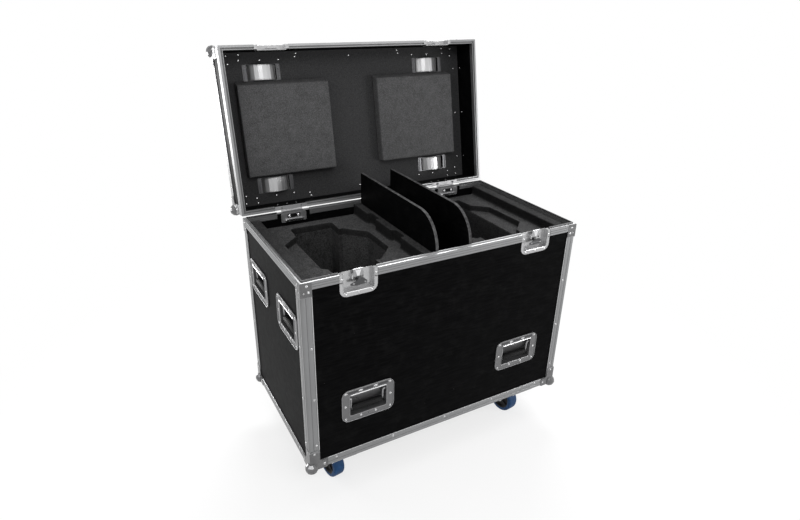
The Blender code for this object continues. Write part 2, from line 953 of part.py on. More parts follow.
def castor_board(side):
    """A plywood runner under the bottom board, with the castors' top plates and their ball races."""
    inner, outer = half_width - castor_board_end, half_width - castor_board_start
    reach = half_depth - castor_board_margin
    cut = castor_board_corner
    low = base_bottom + board_inset - fit_gap - castor_board_thickness
    outline = [
        (inner + cut, -reach), (outer - cut, -reach), (outer, -reach + cut), (outer, reach - cut),
        (outer - cut, reach), (inner + cut, reach), (inner, reach - cut), (inner, -reach + cut),
    ]
    solids = [prism([(side * x, y) for x, y in outline], "Z", low, low + castor_board_thickness)]
    cuts = []
    x = side * (half_width - castor_side)
    for end in (-1, 1):
        y = end * (half_depth - castor_front)
        solids.append(
            block(
                (x - castor_plate_half_width, x + castor_plate_half_width),
                (y - castor_plate_half_length, y + castor_plate_half_length),
                (low - castor_plate_wall, low + fit_gap),
            )
        )
        race = (fork_crown_top + fit_gap, race_top + fit_gap)
        solids.append(rod("Z", (x, y), race_radius, *race, castor_sides))
        bore_top = kingpin_top + fit_gap
        cuts.append(rod("Z", (x, y), kingpin_bore, fork_crown_top - through, bore_top, pin_sides))
    return fuse("castor_board", solids, cuts)


# Boards


def handle_cut(axis, face_at, inward, along, height):
    half = handle_opening_width / 2 + dish_wall + dish_cut_clearance
    high = handle_opening_height / 2 + dish_wall + dish_cut_clearance
    deep = (face_at - inward * through, face_at + inward * (handle_depth + dish_wall + relief_gap))
    span = (along - half, along + half)
    rise = (height - high, height + high)
    if axis == "X":
        return block(deep, span, rise)
    return block(span, deep, rise)


def all_handles():
    """Every handle: name, axis of its face, way out, place along the face, height in the base."""
    found = []
    for face, axis, out in (("front", "Y", -1), ("back", "Y", 1)):
        for side, sign in (("left", -1), ("right", 1)):
            along = sign * (half_width - front_handle_from_end)
            found.append((f"{face}_{side}", axis, out, along, front_handle_height))
    for face, out in (("left", -1), ("right", 1)):
        for end, sign in (("front", -1), ("back", 1)):
            along = sign * (half_depth - side_handle_from_end)
            found.append((f"{face}_{end}", "X", out, along, side_handle_height))
    return found


def face_reach(axis):
    return half_depth if axis == "Y" else half_width


def handle_cuts(wanted_axis, wanted_out):
    return [
        handle_cut(axis, out * face_reach(axis), -out, along, height)
        for _, axis, out, along, height in all_handles()
        if axis == wanted_axis and out == wanted_out
    ]


def long_panel(end):
    """Front or back board, cut for its handles and for the dishes at the rim."""
    near, far = end * (half_depth - board_inset), end * (half_depth - inner_face)
    reach = half_width - board_margin
    top = base_height - edging_wall - fit_gap
    cuts = handle_cuts("Y", end)
    if end < 0:
        half = dish_box_half + dish_cut_clearance
        low = dish_opening_height + dish_wall + dish_cut_clearance
    else:
        half = stay_opening_width / 2 + dish_wall + dish_cut_clearance
        low = stay_opening_height + dish_wall + dish_cut_clearance
    for side in (-1, 1):
        x = side * dish_offset
        across = (near + end * through, far - end * through)
        cuts.append(block((x - half, x + half), across, (base_height - low, base_height)))
    return fuse("long_panel", [block((-reach, reach), (near, far), (board_margin, top))], cuts)


def end_panel(side):
    near, far = side * (half_width - board_inset), side * (half_width - inner_face)
    reach = half_depth - board_margin
    top = base_height - edging_wall - fit_gap
    board = block((near, far), (-reach, reach), (board_margin, top))
    return fuse("end_panel", [board], handle_cuts("X", side))


def divider():
    """Full depth, its front top corner rounded; X runs right from its left face."""
    front = -half_depth + inner_clearance
    back = half_depth - inner_clearance
    top = base_height + divider_rise
    outline = [(back, inner_clearance), (back, top)]
    centre = (front + divider_radius, top - divider_radius)
    outline += rounded_corner(centre, divider_radius, 90, divider_arc_steps)
    outline.append((front, inner_clearance))
    return prism(outline, "X", 0, board_thickness)


def lid_boards():
    """Top and four sides in one, drawn closed from the parting plane up."""
    out_x, out_y = half_width - board_inset, half_depth - board_inset
    in_x, in_y = half_width - inner_face, half_depth - inner_face
    low = lid_rim_solid + fit_gap
    top = lid_height - board_inset
    cuts = [block((-in_x, in_x), (-in_y, in_y), (low - through, top - board_thickness))]
    half = dish_box_half + dish_cut_clearance
    high = keeper_opening_height + dish_wall + dish_cut_clearance
    for side in (-1, 1):
        x = side * dish_offset
        cuts.append(block((x - half, x + half), (-out_y - through, -in_y + through), (0, high)))
    for x, y in cup_places():
        reach_x, reach_y = cup_outer_half()
        cuts.append(
            block(
                (x - reach_x, x + reach_x),
                (y - reach_y, y + reach_y),
                (top - board_thickness - through, top + through),
            )
        )
    return fuse("lid_boards", [block((-out_x, out_x), (-out_y, out_y), (low, top))], cuts)


def cup_places():
    x, y = half_width - cup_side, half_depth - cup_front
    return [(side * x, end * y) for end in (-1, 1) for side in (-1, 1)]


def cup_outer_half():
    clear = cup_wall + dish_cut_clearance
    return cup_half_chord + clear, cup_half_width + clear


def cup_arc(radius, centre_height, level):
    """The part of a circle below a level, as an outline closed by that level."""
    half = math.acos((centre_height - level) / radius)
    points = []
    for i in range(cup_steps + 1):
        angle = -math.pi / 2 - half + 2 * half * i / cup_steps
        points.append((radius * math.cos(angle), centre_height + radius * math.sin(angle)))
    return points


def wheel_cup():
    """A trough for a castor's wheel, its top at zero, with a flange on the lid."""
    centre = math.sqrt(cup_radius**2 - cup_half_chord**2)
    half = cup_half_width
    flange_x, flange_y = cup_half_chord + cup_flange, half + cup_flange
    c = cup_flange_chamfer
    flange = []
    for a, b in ((1, -1), (1, 1), (-1, 1), (-1, -1)):
        corner = [(a * (flange_x - c), b * flange_y), (a * flange_x, b * (flange_y - c))]
        flange += corner if a * b < 0 else reversed(corner)
    outer = cup_arc(cup_radius + cup_wall, centre, -cup_wall / 2)
    inner = cup_arc(cup_radius, centre, through)
    return fuse(
        "wheel_cup",
        [prism(flange, "Z", -edging_wall, 0), prism(outer, "Y", -half - cup_wall, half + cup_wall)],
        [prism(inner, "Y", -half, half)],
    )


# Foam


def foam_insert(side):
    """A block with a shaped pocket, a raised border at the outer side and a notched rail at the divider.

    The pocket's core goes deep; its lobe at the outer side is only as deep as the top sheet.
    """
    out = side * (half_width - inner_clearance)
    wall = divider_face if side < 0 else divider_face + board_thickness
    near = side * (wall + fit_gap)
    front, back = -half_depth + inner_clearance, half_depth - inner_clearance
    bottom = inner_clearance
    top = base_height - foam_main
    border = out - side * foam_border
    rail = near + side * foam_rail
    solids = [
        block((out, near), (front, back), (bottom, top)),
        block((out, border), (front, back), (top - through, base_height - foam_border_top)),
        block((rail, near), (front, back), (top - through, base_height - foam_rail_top)),
    ]
    cuts = []
    for share in notch_place_shares:
        y = -half_depth + share * case_depth
        across = (rail + side * through, rail - side * notch_depth)
        along = (y - notch_length / 2, y + notch_length / 2)
        cuts.append(block(across, along, (top, base_height)))
    blank = fuse("foam_blank", solids, cuts)
    cuts = []
    for shares, depth in ((pocket_core_shares, pocket_depth), (pocket_lobe_shares, pocket_step)):
        outline = [(side * (half_width - a * case_width), (b - 0.5) * case_depth) for a, b in shares]
        cuts.append(prism(outline, "Z", top - depth, base_height))
    for _, axis, way, along, height in all_handles():
        if axis == "X" and way != side:
            continue
        if axis == "Y" and along * side < 0:
            continue
        cuts.append(handle_cut(axis, way * face_reach(axis), -way, along, height))
    x = side * dish_offset
    half = dish_box_half + relief_gap
    low = base_height - dish_opening_height - dish_wall - relief_gap
    dish_back = -half_depth + dish_depth + dish_wall + relief_gap
    cuts.append(block((x - half, x + half), (front - through, dish_back), (low, base_height)))
    return fuse("foam_insert", [scratch(blank)], cuts)


def lid_pad(side, end_margin, middle_margin):
    """A pad glued inside the lid's top, its front side sloped; drawn closed."""
    top = lid_height - inner_face - fit_gap
    front, back = -half_depth + pad_front_margin, half_depth - pad_back_margin
    outline = [(front, pad_face), (back, pad_face), (back, top), (front - pad_slope, top)]
    ends = sorted((side * (half_width - end_margin), side * middle_margin))
    return prism(outline, "X", *ends)


# The case

clear_scene()

laminate = make_material("black_laminate", (0.012, 0.012, 0.013), 0.45, 0.0)
aluminium = make_material("aluminium", (0.72, 0.73, 0.74), 0.32, 1.0)
steel = make_material("zinc_steel", (0.66, 0.66, 0.67), 0.28, 1.0)
dark_metal = make_material("dark_metal", (0.09, 0.09, 0.095), 0.38, 1.0)
foam = make_material("black_foam", (0.022, 0.022, 0.024), 0.95, 0.0)
rubber = make_material("black_rubber", (0.016, 0.016, 0.017), 0.6, 0.0)
blue_tread = make_material("blue_tread", (0.02, 0.07, 0.17), 0.5, 0.0)
ply = make_material("black_ply", (0.015, 0.015, 0.016), 0.6, 0.0)

case = add_frame("case_frame", (0, 0, 0))
base = add_frame("base_frame", (0, 0, base_bottom), parent=case)
hinge_y = half_depth + hinge_out
lid = add_frame("lid_frame", (0, hinge_y, parting), -math.radians(lid_open_degrees), parent=case)
closed_offset = (0, -hinge_y, 0)


def base_edging():
    section = edging_section()
    solids = []
    for side in (-1, 1):
        solids.append(rim_side(rim_section(-1), base_height, side))
        solids.append(rail_along_y(section, side, 0, 1))
        for end in (-1, 1):
            solids.append(post(section, side, end, 0, base_height - rim_face - rim_post_gap))
            solids.append(corner_bracket(side, end))
            solids += ball_corner(side, end, 0, 1)
            solids.append(corner_fill(side, end))
            for height in post_rivet_heights:
                x, y = side * half_width, end * half_depth
                solids.append(rivet((x - side * edging_rivet_in, y, height), (0, end, 0)))
                solids.append(rivet((x, y - end * edging_rivet_in, height), (side, 0, 0)))
        for y in spread(depth_rivet_count, half_depth - depth_rivet_end):
            solids.append(rivet((side * half_width, y, edging_rivet_in), (side, 0, 0)))
    for end in (-1, 1):
        solids.append(rail_along_x(section, end, 0, 1))
        for x in spread(rail_rivet_count, half_width - rail_rivet_end):
            solids.append(rivet((x, end * half_depth, edging_rivet_in), (0, end, 0)))
    return fuse("base_edging", solids)


def lid_edging():
    section = angle_section()
    solids = []
    for side in (-1, 1):
        solids.append(rim_side(rim_section(1), 0, side))
        solids.append(rail_along_y(section, side, lid_height, -1))
        for end in (-1, 1):
            solids.append(post(section, side, end, lid_rim_face - through, lid_height))
            solids += ball_corner(side, end, lid_height, -1)
        for y in spread(depth_rivet_count, half_depth - depth_rivet_end):
            solids.append(rivet((side * half_width, y, lid_height - edging_rivet_in), (side, 0, 0)))
    for end in (-1, 1):
        solids.append(rail_along_x(section, end, lid_height, -1))
        for x in spread(rail_rivet_count, half_width - rail_rivet_end):
            solids.append(rivet((x, end * half_depth, lid_height - edging_rivet_in), (0, end, 0)))
    return fuse("lid_edging", solids)


def finished(made, name):
    """A scratch solid's own mesh, once nothing more is joined to it."""
    mesh = made.data
    mesh.name = name
    bpy.data.objects.remove(made, do_unlink=True)
    return mesh


# Base

add_piece("base_edging", base_edging(), aluminium, base, smooth=True)
for end, word in ((-1, "front"), (1, "back")):
    rim = finished(rim_middle(rim_section(-1), base_height, end), "rim")
    add_piece(f"base_rim_{word}", rim, aluminium, base)
    add_piece(f"panel_{word}", long_panel(end), laminate, base)
for side, word in ((-1, "left"), (1, "right")):
    add_piece(f"panel_{word}", end_panel(side), laminate, base)
bottom_reach = (half_width - board_margin, half_depth - board_margin)
bottom = block(
    (-bottom_reach[0], bottom_reach[0]), (-bottom_reach[1], bottom_reach[1]), (board_inset, inner_face)
)
add_piece("panel_bottom", finished(bottom, "panel_bottom"), laminate, base)

divider_mesh = finished(divider(), "divider")
add_piece("divider_left", divider_mesh, laminate, base, (-divider_face, 0, 0))
add_piece("divider_right", divider_mesh, laminate, base, (divider_face, 0, 0))
add_piece("foam_insert_left", foam_insert(-1), foam, base)
add_piece("foam_insert_right", foam_insert(1), foam, base)

# Latches and lid stays

latch_mesh, keeper_mesh = latch_dish(), keeper_dish()
butterfly_mesh, hook_mesh = butterfly(), hook()
stay_base_mesh, stay_lid_mesh = stay_base(), stay_lid()
for side, word in ((-1, "left"), (1, "right")):
    x = side * dish_offset
    add_piece(f"latch_dish_{word}", latch_mesh, steel, base, (x, -half_depth, base_height))
    place = (x, -half_depth, base_height - butterfly_low)
    add_piece(f"latch_butterfly_{word}", butterfly_mesh, dark_metal, base, place, smooth=True)
    add_piece(f"latch_hook_{word}", hook_mesh, steel, base, (x, -half_depth, base_height))
    add_piece(f"latch_keeper_{word}", keeper_mesh, steel, lid, (x, -hinge_y - half_depth, 0))
    add_piece(f"stay_base_{word}", stay_base_mesh, steel, base, (x, half_depth, base_height), math.pi)
    add_piece(f"stay_lid_{word}", stay_lid_mesh, steel, lid, (x, -hinge_out, 0), math.pi)

# Handles

dish_mesh, bail_mesh = handle_dish(), handle_bail()
for word, axis, out, along, height in all_handles():
    if axis == "Y":
        turn = 0.0 if out < 0 else math.pi
        place = Vector((along, out * half_depth, height))
    else:
        turn = out * math.pi / 2
        place = Vector((out * half_width, along, height))
    pivot = Matrix.Rotation(turn, 3, "Z") @ Vector((0, handle_pivot_depth, handle_pivot_height))
    add_piece(f"handle_dish_{word}", dish_mesh, steel, base, place, turn)
    add_piece(f"handle_bail_{word}", bail_mesh, rubber, base, place + pivot, turn, smooth=True)

# Castors

fork_mesh, wheel_mesh = castor_fork(), castor_wheel()
yaw = math.radians(castor_yaw_degrees)
for side, word in ((-1, "left"), (1, "right")):
    add_piece(f"castor_board_{word}", castor_board(side), ply, case)
    for end, place_word in ((-1, "front"), (1, "back")):
        x, y = side * (half_width - castor_side), end * (half_depth - castor_front)
        fork = add_piece(f"castor_fork_{place_word}_{word}", fork_mesh, steel, case, (x, y, 0), yaw)
        name = f"castor_wheel_{place_word}_{word}"
        add_piece(name, wheel_mesh, blue_tread, fork, (0, castor_trail, wheel_radius), smooth=True)

# Lid, drawn closed in the lid's frame and swung open with it

add_piece("lid_boards", lid_boards(), laminate, lid, closed_offset)
add_piece("lid_edging", lid_edging(), aluminium, lid, closed_offset, smooth=True)
for end, word in ((-1, "front"), (1, "back")):
    rim = finished(rim_middle(rim_section(1), 0, end), "lid_rim")
    add_piece(f"lid_rim_{word}", rim, aluminium, lid, closed_offset)
left_pad = lid_pad(-1, pad_left_end_margin, pad_left_middle_margin)
right_pad = lid_pad(1, pad_right_end_margin, pad_right_middle_margin)
add_piece("lid_pad_left", finished(left_pad, "lid_pad"), foam, lid, closed_offset)
add_piece("lid_pad_right", finished(right_pad, "lid_pad"), foam, lid, closed_offset)
cup_mesh = wheel_cup()
for (x, y), word in zip(cup_places(), ("front_left", "front_right", "back_left", "back_right")):
    add_piece(f"wheel_cup_{word}", cup_mesh, steel, lid, (x, y - hinge_y, lid_height), smooth=True)

# The origin: on the floor, under the middle of the open case's box, to the nearest tenth of a millimetre

bpy.context.view_layer.update()
depths = [
    (piece.matrix_world @ vertex.co).y
    for piece in bpy.data.objects
    if piece.type == "MESH"
    for vertex in piece.data.vertices
]
case.location.y = -round((min(depths) + max(depths)) / 2, 4)
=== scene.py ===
"""Looks of the lighting flight case: materials, rivets, foam, grips, wheels, stage and camera."""

import math

import bmesh
import bpy
from mathutils import Matrix, Vector, noise


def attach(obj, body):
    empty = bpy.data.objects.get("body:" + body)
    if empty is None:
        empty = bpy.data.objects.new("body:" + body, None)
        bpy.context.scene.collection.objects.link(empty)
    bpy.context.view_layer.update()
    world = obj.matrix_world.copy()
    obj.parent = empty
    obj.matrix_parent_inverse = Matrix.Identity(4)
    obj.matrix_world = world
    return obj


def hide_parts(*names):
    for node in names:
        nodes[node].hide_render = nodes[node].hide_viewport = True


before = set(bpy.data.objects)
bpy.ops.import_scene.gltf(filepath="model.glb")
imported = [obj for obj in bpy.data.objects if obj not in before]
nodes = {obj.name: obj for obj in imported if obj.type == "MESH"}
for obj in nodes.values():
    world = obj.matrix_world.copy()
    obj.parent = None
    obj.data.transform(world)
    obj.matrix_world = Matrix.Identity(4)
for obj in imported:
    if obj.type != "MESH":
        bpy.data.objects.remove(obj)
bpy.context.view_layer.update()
MM = 0.001

# Sizes in millimetres. The base's own frame has Z = 0 at its underside and the lid's at its
# mouth; both have the middle of the case at X = Y = 0 and look along -Y.
WIDTH, DEPTH, BASE, LID = 890.0, 490.0, 592.0, 110.0
HW, HD = WIDTH / 2, DEPTH / 2
BASE_Z = 143.0  # the base's underside over the floor
SHIFT = -102.4  # the middle of the case along Y, in a frame that centres the open case
HINGE_OUT = 4.0  # the lid's hinge line behind the back
HINGE_Y = HD + HINGE_OUT
OPEN = 101.0  # the lid at rest, in degrees

SIDES = (("left", -1), ("right", 1))
ENDS = (("front", -1), ("back", 1))
CORNERS = [(side, end) for side in (-1, 1) for end in (-1, 1)]


def move(x, y, z):
    return Matrix.Translation((x, y, z))


to_base = move(0, SHIFT, BASE_Z)
to_lid = (
    move(0, HINGE_Y + SHIFT, BASE_Z + BASE)
    @ Matrix.Rotation(-math.radians(OPEN), 4, "X")
    @ move(0, -HINGE_Y, 0)
)
to_metres = Matrix.Scale(MM, 4)


# Shapes

# Sections across a rib and a rim bead, as shares of width and rise; their feet are let in
SUNK = -0.15
RIB = ((-0.5, SUNK), (-0.38, 0.7), (-0.14, 1), (0.14, 1), (0.38, 0.7), (0.5, SUNK))
BEAD = ((0, -0.2), (0.12, 0.72), (0.5, 1), (0.88, 0.72), (1, -0.2))
BAND_EDGE = 0.35  # the slope at each edge of a flat band
BEND_STEPS = 5
WELD = 0.001  # points nearer than this are joined


class Shape:
    """A mesh gathered in millimetres under a matrix, made into one piece at the end."""

    def __init__(self, matrix=None):
        self.form = bmesh.new()
        self.matrix = matrix or Matrix.Identity(4)

    def skin(self, rings, matrix=None, loop=False):
        """Faces between rings of as many points each, closed by caps or from last ring to first."""
        place = self.matrix @ (matrix or Matrix.Identity(4))
        rows = [[self.form.verts.new(place @ Vector(p)) for p in ring] for ring in rings]
        pairs = list(zip(rows, rows[1:]))
        if loop:
            pairs.append((rows[-1], rows[0]))
        for a, b in pairs:
            for i in range(len(a)):
                j = (i + 1) % len(a)
                self.form.faces.new((a[i], a[j], b[j], b[i]))
        if not loop:
            self.form.faces.new(rows[0])
            self.form.faces.new(rows[-1])

    def prism(self, outline, start, end, matrix=None):
        """An outline in Y and Z, drawn out along X."""
        self.skin([[(at, a, b) for a, b in outline] for at in (start, end)], matrix)

    def turned(self, profile, sides, matrix=None, loop=False):
        """A profile of (radius, along) turned about Z, capped at its ends or joined into a ring."""
        angles = [math.tau * i / sides for i in range(sides)]
        rings = []
        for radius, along in profile:
            rings.append([(radius * math.cos(t), radius * math.sin(t), along) for t in angles])
        self.skin(rings, matrix, loop)

    def plate(self, outline, start, end, soft, matrix=None):
        """A flat plate across Y with softened edges; the outline is round its middle."""
        reach = max(abs(v) for point in outline for v in point)
        small = 1 - soft / reach
        rings = []
        for at, scale in ((start, small), (start + soft, 1), (end - soft, 1), (end, small)):
            rings.append([(a * scale, at, b * scale) for a, b in outline])
        self.skin(rings, matrix)

    def strip(self, start, end, out, width, rise, flat=False):
        """A low rounded rib, or a flat band, from one point of a face to another."""
        start, end, out = Vector(start), Vector(end), Vector(out)
        across = (end - start).normalized().cross(out)
        section = RIB
        if flat:
            top = 0.5 - BAND_EDGE / width
            section = ((-0.5, SUNK), (-0.5, 0.6), (-top, 1), (top, 1), (0.5, 0.6), (0.5, SUNK))
        rings = []
        for at in (start, end):
            rings.append([at + across * (a * width) + out * (b * rise) for a, b in section])
        self.skin(rings)

    def bead(self, half_x, half_z, radius, width, rise, matrix=None):
        """A rounded rim round an opening in a face that looks along -Y."""
        rings = []
        for a, b in BEAD:
            ring = rounded(half_x + a * width, half_z + a * width, radius + a * width)
            rings.append([(x, -b * rise, z) for x, z in ring])
        self.skin(rings, matrix, loop=True)

    def tube(self, points, radius, sides, matrix=None):
        """A round bar along a line of points."""
        points = [Vector(p) for p in points]
        rings, across = [], None
        for i, at in enumerate(points):
            before, after = points[max(i - 1, 0)], points[min(i + 1, len(points) - 1)]
            along = (after - before).normalized()
            if across is None:
                across = along.orthogonal().normalized()
            across = (across - along * across.dot(along)).normalized()
            other = along.cross(across)
            ring = []
            for k in range(sides):
                angle = math.tau * k / sides
                ring.append(at + radius * (math.cos(angle) * across + math.sin(angle) * other))
            rings.append(ring)
        self.skin(rings, matrix)

    def piece(self, name, material, body, slot, smooth=40.0, replaces=()):
        """Make what is gathered into a piece, in metres."""
        bmesh.ops.remove_doubles(self.form, verts=self.form.verts, dist=WELD)
        bmesh.ops.recalc_face_normals(self.form, faces=self.form.faces)
        bmesh.ops.transform(self.form, matrix=to_metres, verts=self.form.verts)
        mesh = bpy.data.meshes.new(name)
        self.form.to_mesh(mesh)
        self.form.free()
        settle(add_object(name, mesh), material, body, smooth, replaces)


def add_object(name, data):
    made = bpy.data.objects.new(name, data)
    bpy.context.scene.collection.objects.link(made)
    return made


def settle(made, material, body, smooth, replaces):
    """Give a piece its material, smooth shading up to an angle, body and replaced nodes."""
    made.data.materials.clear()
    made.data.materials.append(material)
    made.data.shade_smooth()
    made.data.set_sharp_from_angle(angle=math.radians(smooth))
    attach(made, body)
    if replaces:
        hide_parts(*replaces)


def turn_to(direction, at):
    """A matrix that stands +Z along a direction, at a point."""
    return Matrix.Translation(at) @ Vector(direction).to_track_quat("Z", "Y").to_matrix().to_4x4()


def rounded(half_x, half_y, radius, steps=6):
    """The outline of a rectangle with round corners, by its half sizes."""
    points = []
    for k, (sx, sy) in enumerate(((1, 1), (-1, 1), (-1, -1), (1, -1))):
        for i in range(steps + 1):
            angle = math.pi / 2 * (k + i / steps)
            x = sx * (half_x - radius) + radius * math.cos(angle)
            y = sy * (half_y - radius) + radius * math.sin(angle)
            points.append((x, y))
    return points


def bent(points, radius):
    """A line of points with its corners rounded."""
    points = [Vector(p) for p in points]
    line = [points[0]]
    for before, here, after in zip(points, points[1:], points[2:]):
        into, out = (before - here).normalized(), (after - here).normalized()
        half = into.angle(out) / 2
        reach = radius / math.tan(half)
        start, end = here + into * reach, here + out * reach
        for i in range(BEND_STEPS + 1):
            t = i / BEND_STEPS
            line.append(start * (1 - t) ** 2 + here * (2 * t * (1 - t)) + end * t**2)
    line.append(points[-1])
    return line


def spaced(count, pitch):
    """Even places on both sides of 0."""
    return [pitch * (i - (count - 1) / 2) for i in range(count)]


def mirrored(half):
    """A profile of (radius, along) and its mirror image, as one profile."""
    return half + [(r, -h) for r, h in reversed(half)]


# Materials


def set_range(node, from_low, from_high, low, high):
    values = {"From Min": from_low, "From Max": from_high, "To Min": low, "To Max": high}
    for name, value in values.items():
        node.inputs[name].default_value = value


def darker(colour, share):
    return tuple(c * share for c in colour)


class Nodes:
    """A Principled material with a few helpers for its node tree."""

    def __init__(self, name, colour, roughness, metallic=0.0, specular=0.5):
        self.made = bpy.data.materials.new(name)
        self.made.use_nodes = True
        self.tree = self.made.node_tree
        self.shader = self.tree.nodes["Principled BSDF"]
        inputs = self.shader.inputs
        inputs["Base Color"].default_value = (*colour, 1)
        inputs["Roughness"].default_value = roughness
        inputs["Metallic"].default_value = metallic
        inputs["Specular IOR Level"].default_value = specular
        place = self.node("ShaderNodeTexCoord")
        self.coordinate, self.normal = place.outputs["Object"], place.outputs["Normal"]

    def node(self, kind):
        return self.tree.nodes.new(kind)

    def link(self, a, b):
        self.tree.links.new(a, b)

    def scaled(self, scale):
        made = self.node("ShaderNodeMapping")
        made.inputs["Scale"].default_value = scale
        self.link(self.coordinate, made.inputs["Vector"])
        return made.outputs["Vector"]

    def noise(self, scale, detail=3.0, rough=0.55, stretch=(1, 1, 1)):
        made = self.node("ShaderNodeTexNoise")
        made.inputs["Scale"].default_value = scale
        made.inputs["Detail"].default_value = detail
        made.inputs["Roughness"].default_value = rough
        self.link(self.scaled(stretch), made.inputs["Vector"])
        return made.outputs["Fac"]

    def cells(self, scale):
        made = self.node("ShaderNodeTexVoronoi")
        made.inputs["Scale"].default_value = scale
        self.link(self.scaled((1, 1, 1)), made.inputs["Vector"])
        return made.outputs["Distance"]

    def span(self, value, low, high, from_low=0.0, from_high=1.0):
        """A value carried from one range to another."""
        made = self.node("ShaderNodeMapRange")
        set_range(made, from_low, from_high, low, high)
        self.link(value, made.inputs["Value"])
        return made.outputs["Result"]

    def patches(self, low, high, *texture):
        """0 to 1 where a noise rises from low to high."""
        return self.span(self.noise(*texture), 0, 1, low, high)

    def maths(self, operation, a, b=None):
        made = self.node("ShaderNodeMath")
        made.operation = operation
        for socket, value in zip(made.inputs, (a, b)):
            if value is None:
                continue
            if isinstance(value, (int, float)):
                socket.default_value = value
            else:
                self.link(value, socket)
        return made.outputs["Value"]

    def vector(self, operation, a, fixed):
        """A number worked out from a vector and a fixed one."""
        made = self.node("ShaderNodeVectorMath")
        made.operation = operation
        made.inputs[1].default_value = fixed
        self.link(a, made.inputs[0])
        return made.outputs["Value"]

    def part(self, vector, axis):
        made = self.node("ShaderNodeSeparateXYZ")
        self.link(vector, made.inputs[0])
        return made.outputs[axis]

    def mix(self, factor, a, b):
        """A colour between two, each given as a colour or as a node's output."""
        made = self.node("ShaderNodeMix")
        made.data_type = "RGBA"
        for name, value in (("A", a), ("B", b)):
            socket = [s for s in made.inputs if s.name == name and s.type == "RGBA"][0]
            if isinstance(value, tuple):
                socket.default_value = (*value, 1)
            else:
                self.link(value, socket)
        self.link(factor, made.inputs["Factor"])
        return [s for s in made.outputs if s.type == "RGBA"][0]

    def colour(self, value):
        self.link(value, self.shader.inputs["Base Color"])

    def roughness(self, value):
        self.link(value, self.shader.inputs["Roughness"])

    def bump(self, value, distance, strength, bevel=0.0):
        made = self.node("ShaderNodeBump")
        made.inputs["Strength"].default_value = strength
        made.inputs["Distance"].default_value = distance
        self.link(value, made.inputs["Height"])
        if bevel:
            edge = self.node("ShaderNodeBevel")
            edge.samples = 4
            edge.inputs["Radius"].default_value = bevel
            self.link(edge.outputs["Normal"], made.inputs["Normal"])
        self.link(made.outputs["Normal"], self.shader.inputs["Normal"])


def laminate(name, inner=None, edged=False):
    """Phenolic-faced plywood: nearly black, a fine pressed grain, faint dust and rub marks.

    The face that looks along inner, given at rest, is lined in dark grey. The edges of a board
    that stands across X are greyer where edged is set.
    """
    m = Nodes(name, (0.0018, 0.0018, 0.002), 0.44, specular=0.014)
    dust = m.patches(0.5, 0.8, 30, 6, 0.7)
    specks = m.span(m.cells(48), 1, 0, 0.02, 0.06)
    marks = m.maths("MULTIPLY", specks, m.patches(0.62, 0.66, 31))
    grain = m.patches(0.4, 0.7, 420, 3, 0.6, (0.05, 0.05, 1))
    pressed = m.mix(grain, (0.0012, 0.0012, 0.0013), (0.0042, 0.0042, 0.0044))
    light = m.maths("MAXIMUM", m.maths("MULTIPLY", dust, 0.04), marks)
    worn = m.mix(light, pressed, (0.09, 0.09, 0.09))
    if inner:
        lined = m.span(m.vector("DOT_PRODUCT", m.normal, inner), 0, 1, 0.7, 0.8)
        nap = m.patches(0.3, 0.7, 380, 4, 0.7)
        worn = m.mix(lined, worn, m.mix(nap, (0.022, 0.022, 0.023), (0.055, 0.055, 0.056)))
    if edged:
        flat = m.span(m.maths("ABSOLUTE", m.part(m.normal, "X")), 0, 1, 0.3, 0.7)
        plies = m.patches(0.35, 0.7, 90, 4, 0.6)
        worn = m.mix(flat, m.mix(plies, (0.035, 0.035, 0.036), (0.10, 0.10, 0.101)), worn)
    m.colour(worn)
    m.roughness(m.span(m.noise(60, 4, 0.6), 0.42, 0.48, 0.3, 0.7))
    m.bump(m.noise(900, 2), 0.00012, 0.35, bevel=0.0006)
    return m.made


def edge_ply():
    """Black plywood with its plies showing, for the castor boards."""
    m = Nodes("black_ply", (0.010, 0.010, 0.011), 0.6, specular=0.3)
    lines = m.noise(60, 3, 0.6, (1, 1, 14))
    m.colour(m.mix(m.span(lines, 0, 1, 0.45, 0.7), (0.007, 0.007, 0.0075), (0.022, 0.021, 0.020)))
    m.roughness(m.span(lines, 0.5, 0.75))
    m.bump(lines, 0.0002, 0.4, bevel=0.001)
    return m.made


def metal(name, colour, low, high, scale, bevel=0.0, dull=0.9, grain=0.000006, metallic=1.0):
    """Bare metal: slight tarnish and handling marks in its colour and roughness."""
    m = Nodes(name, colour, (low + high) / 2, metallic)
    m.colour(m.mix(m.patches(0.35, 0.75, scale, 5, 0.6), colour, darker(colour, dull)))
    m.roughness(m.span(m.noise(scale * 1.7, 4, 0.5), low, high, 0.3, 0.7))
    m.bump(m.noise(240, 2), grain, 0.2, bevel=bevel)
    return m.made


SATIN, FITTING, ZINC = (0.24, 0.242, 0.245), (0.17, 0.17, 0.173), (0.46, 0.46, 0.465)
CORNER_REACH = 62.0  # a ball corner's arms, from the corner of the case
BRACKET_FOOT = 552.0  # the lower end of the brackets on the posts


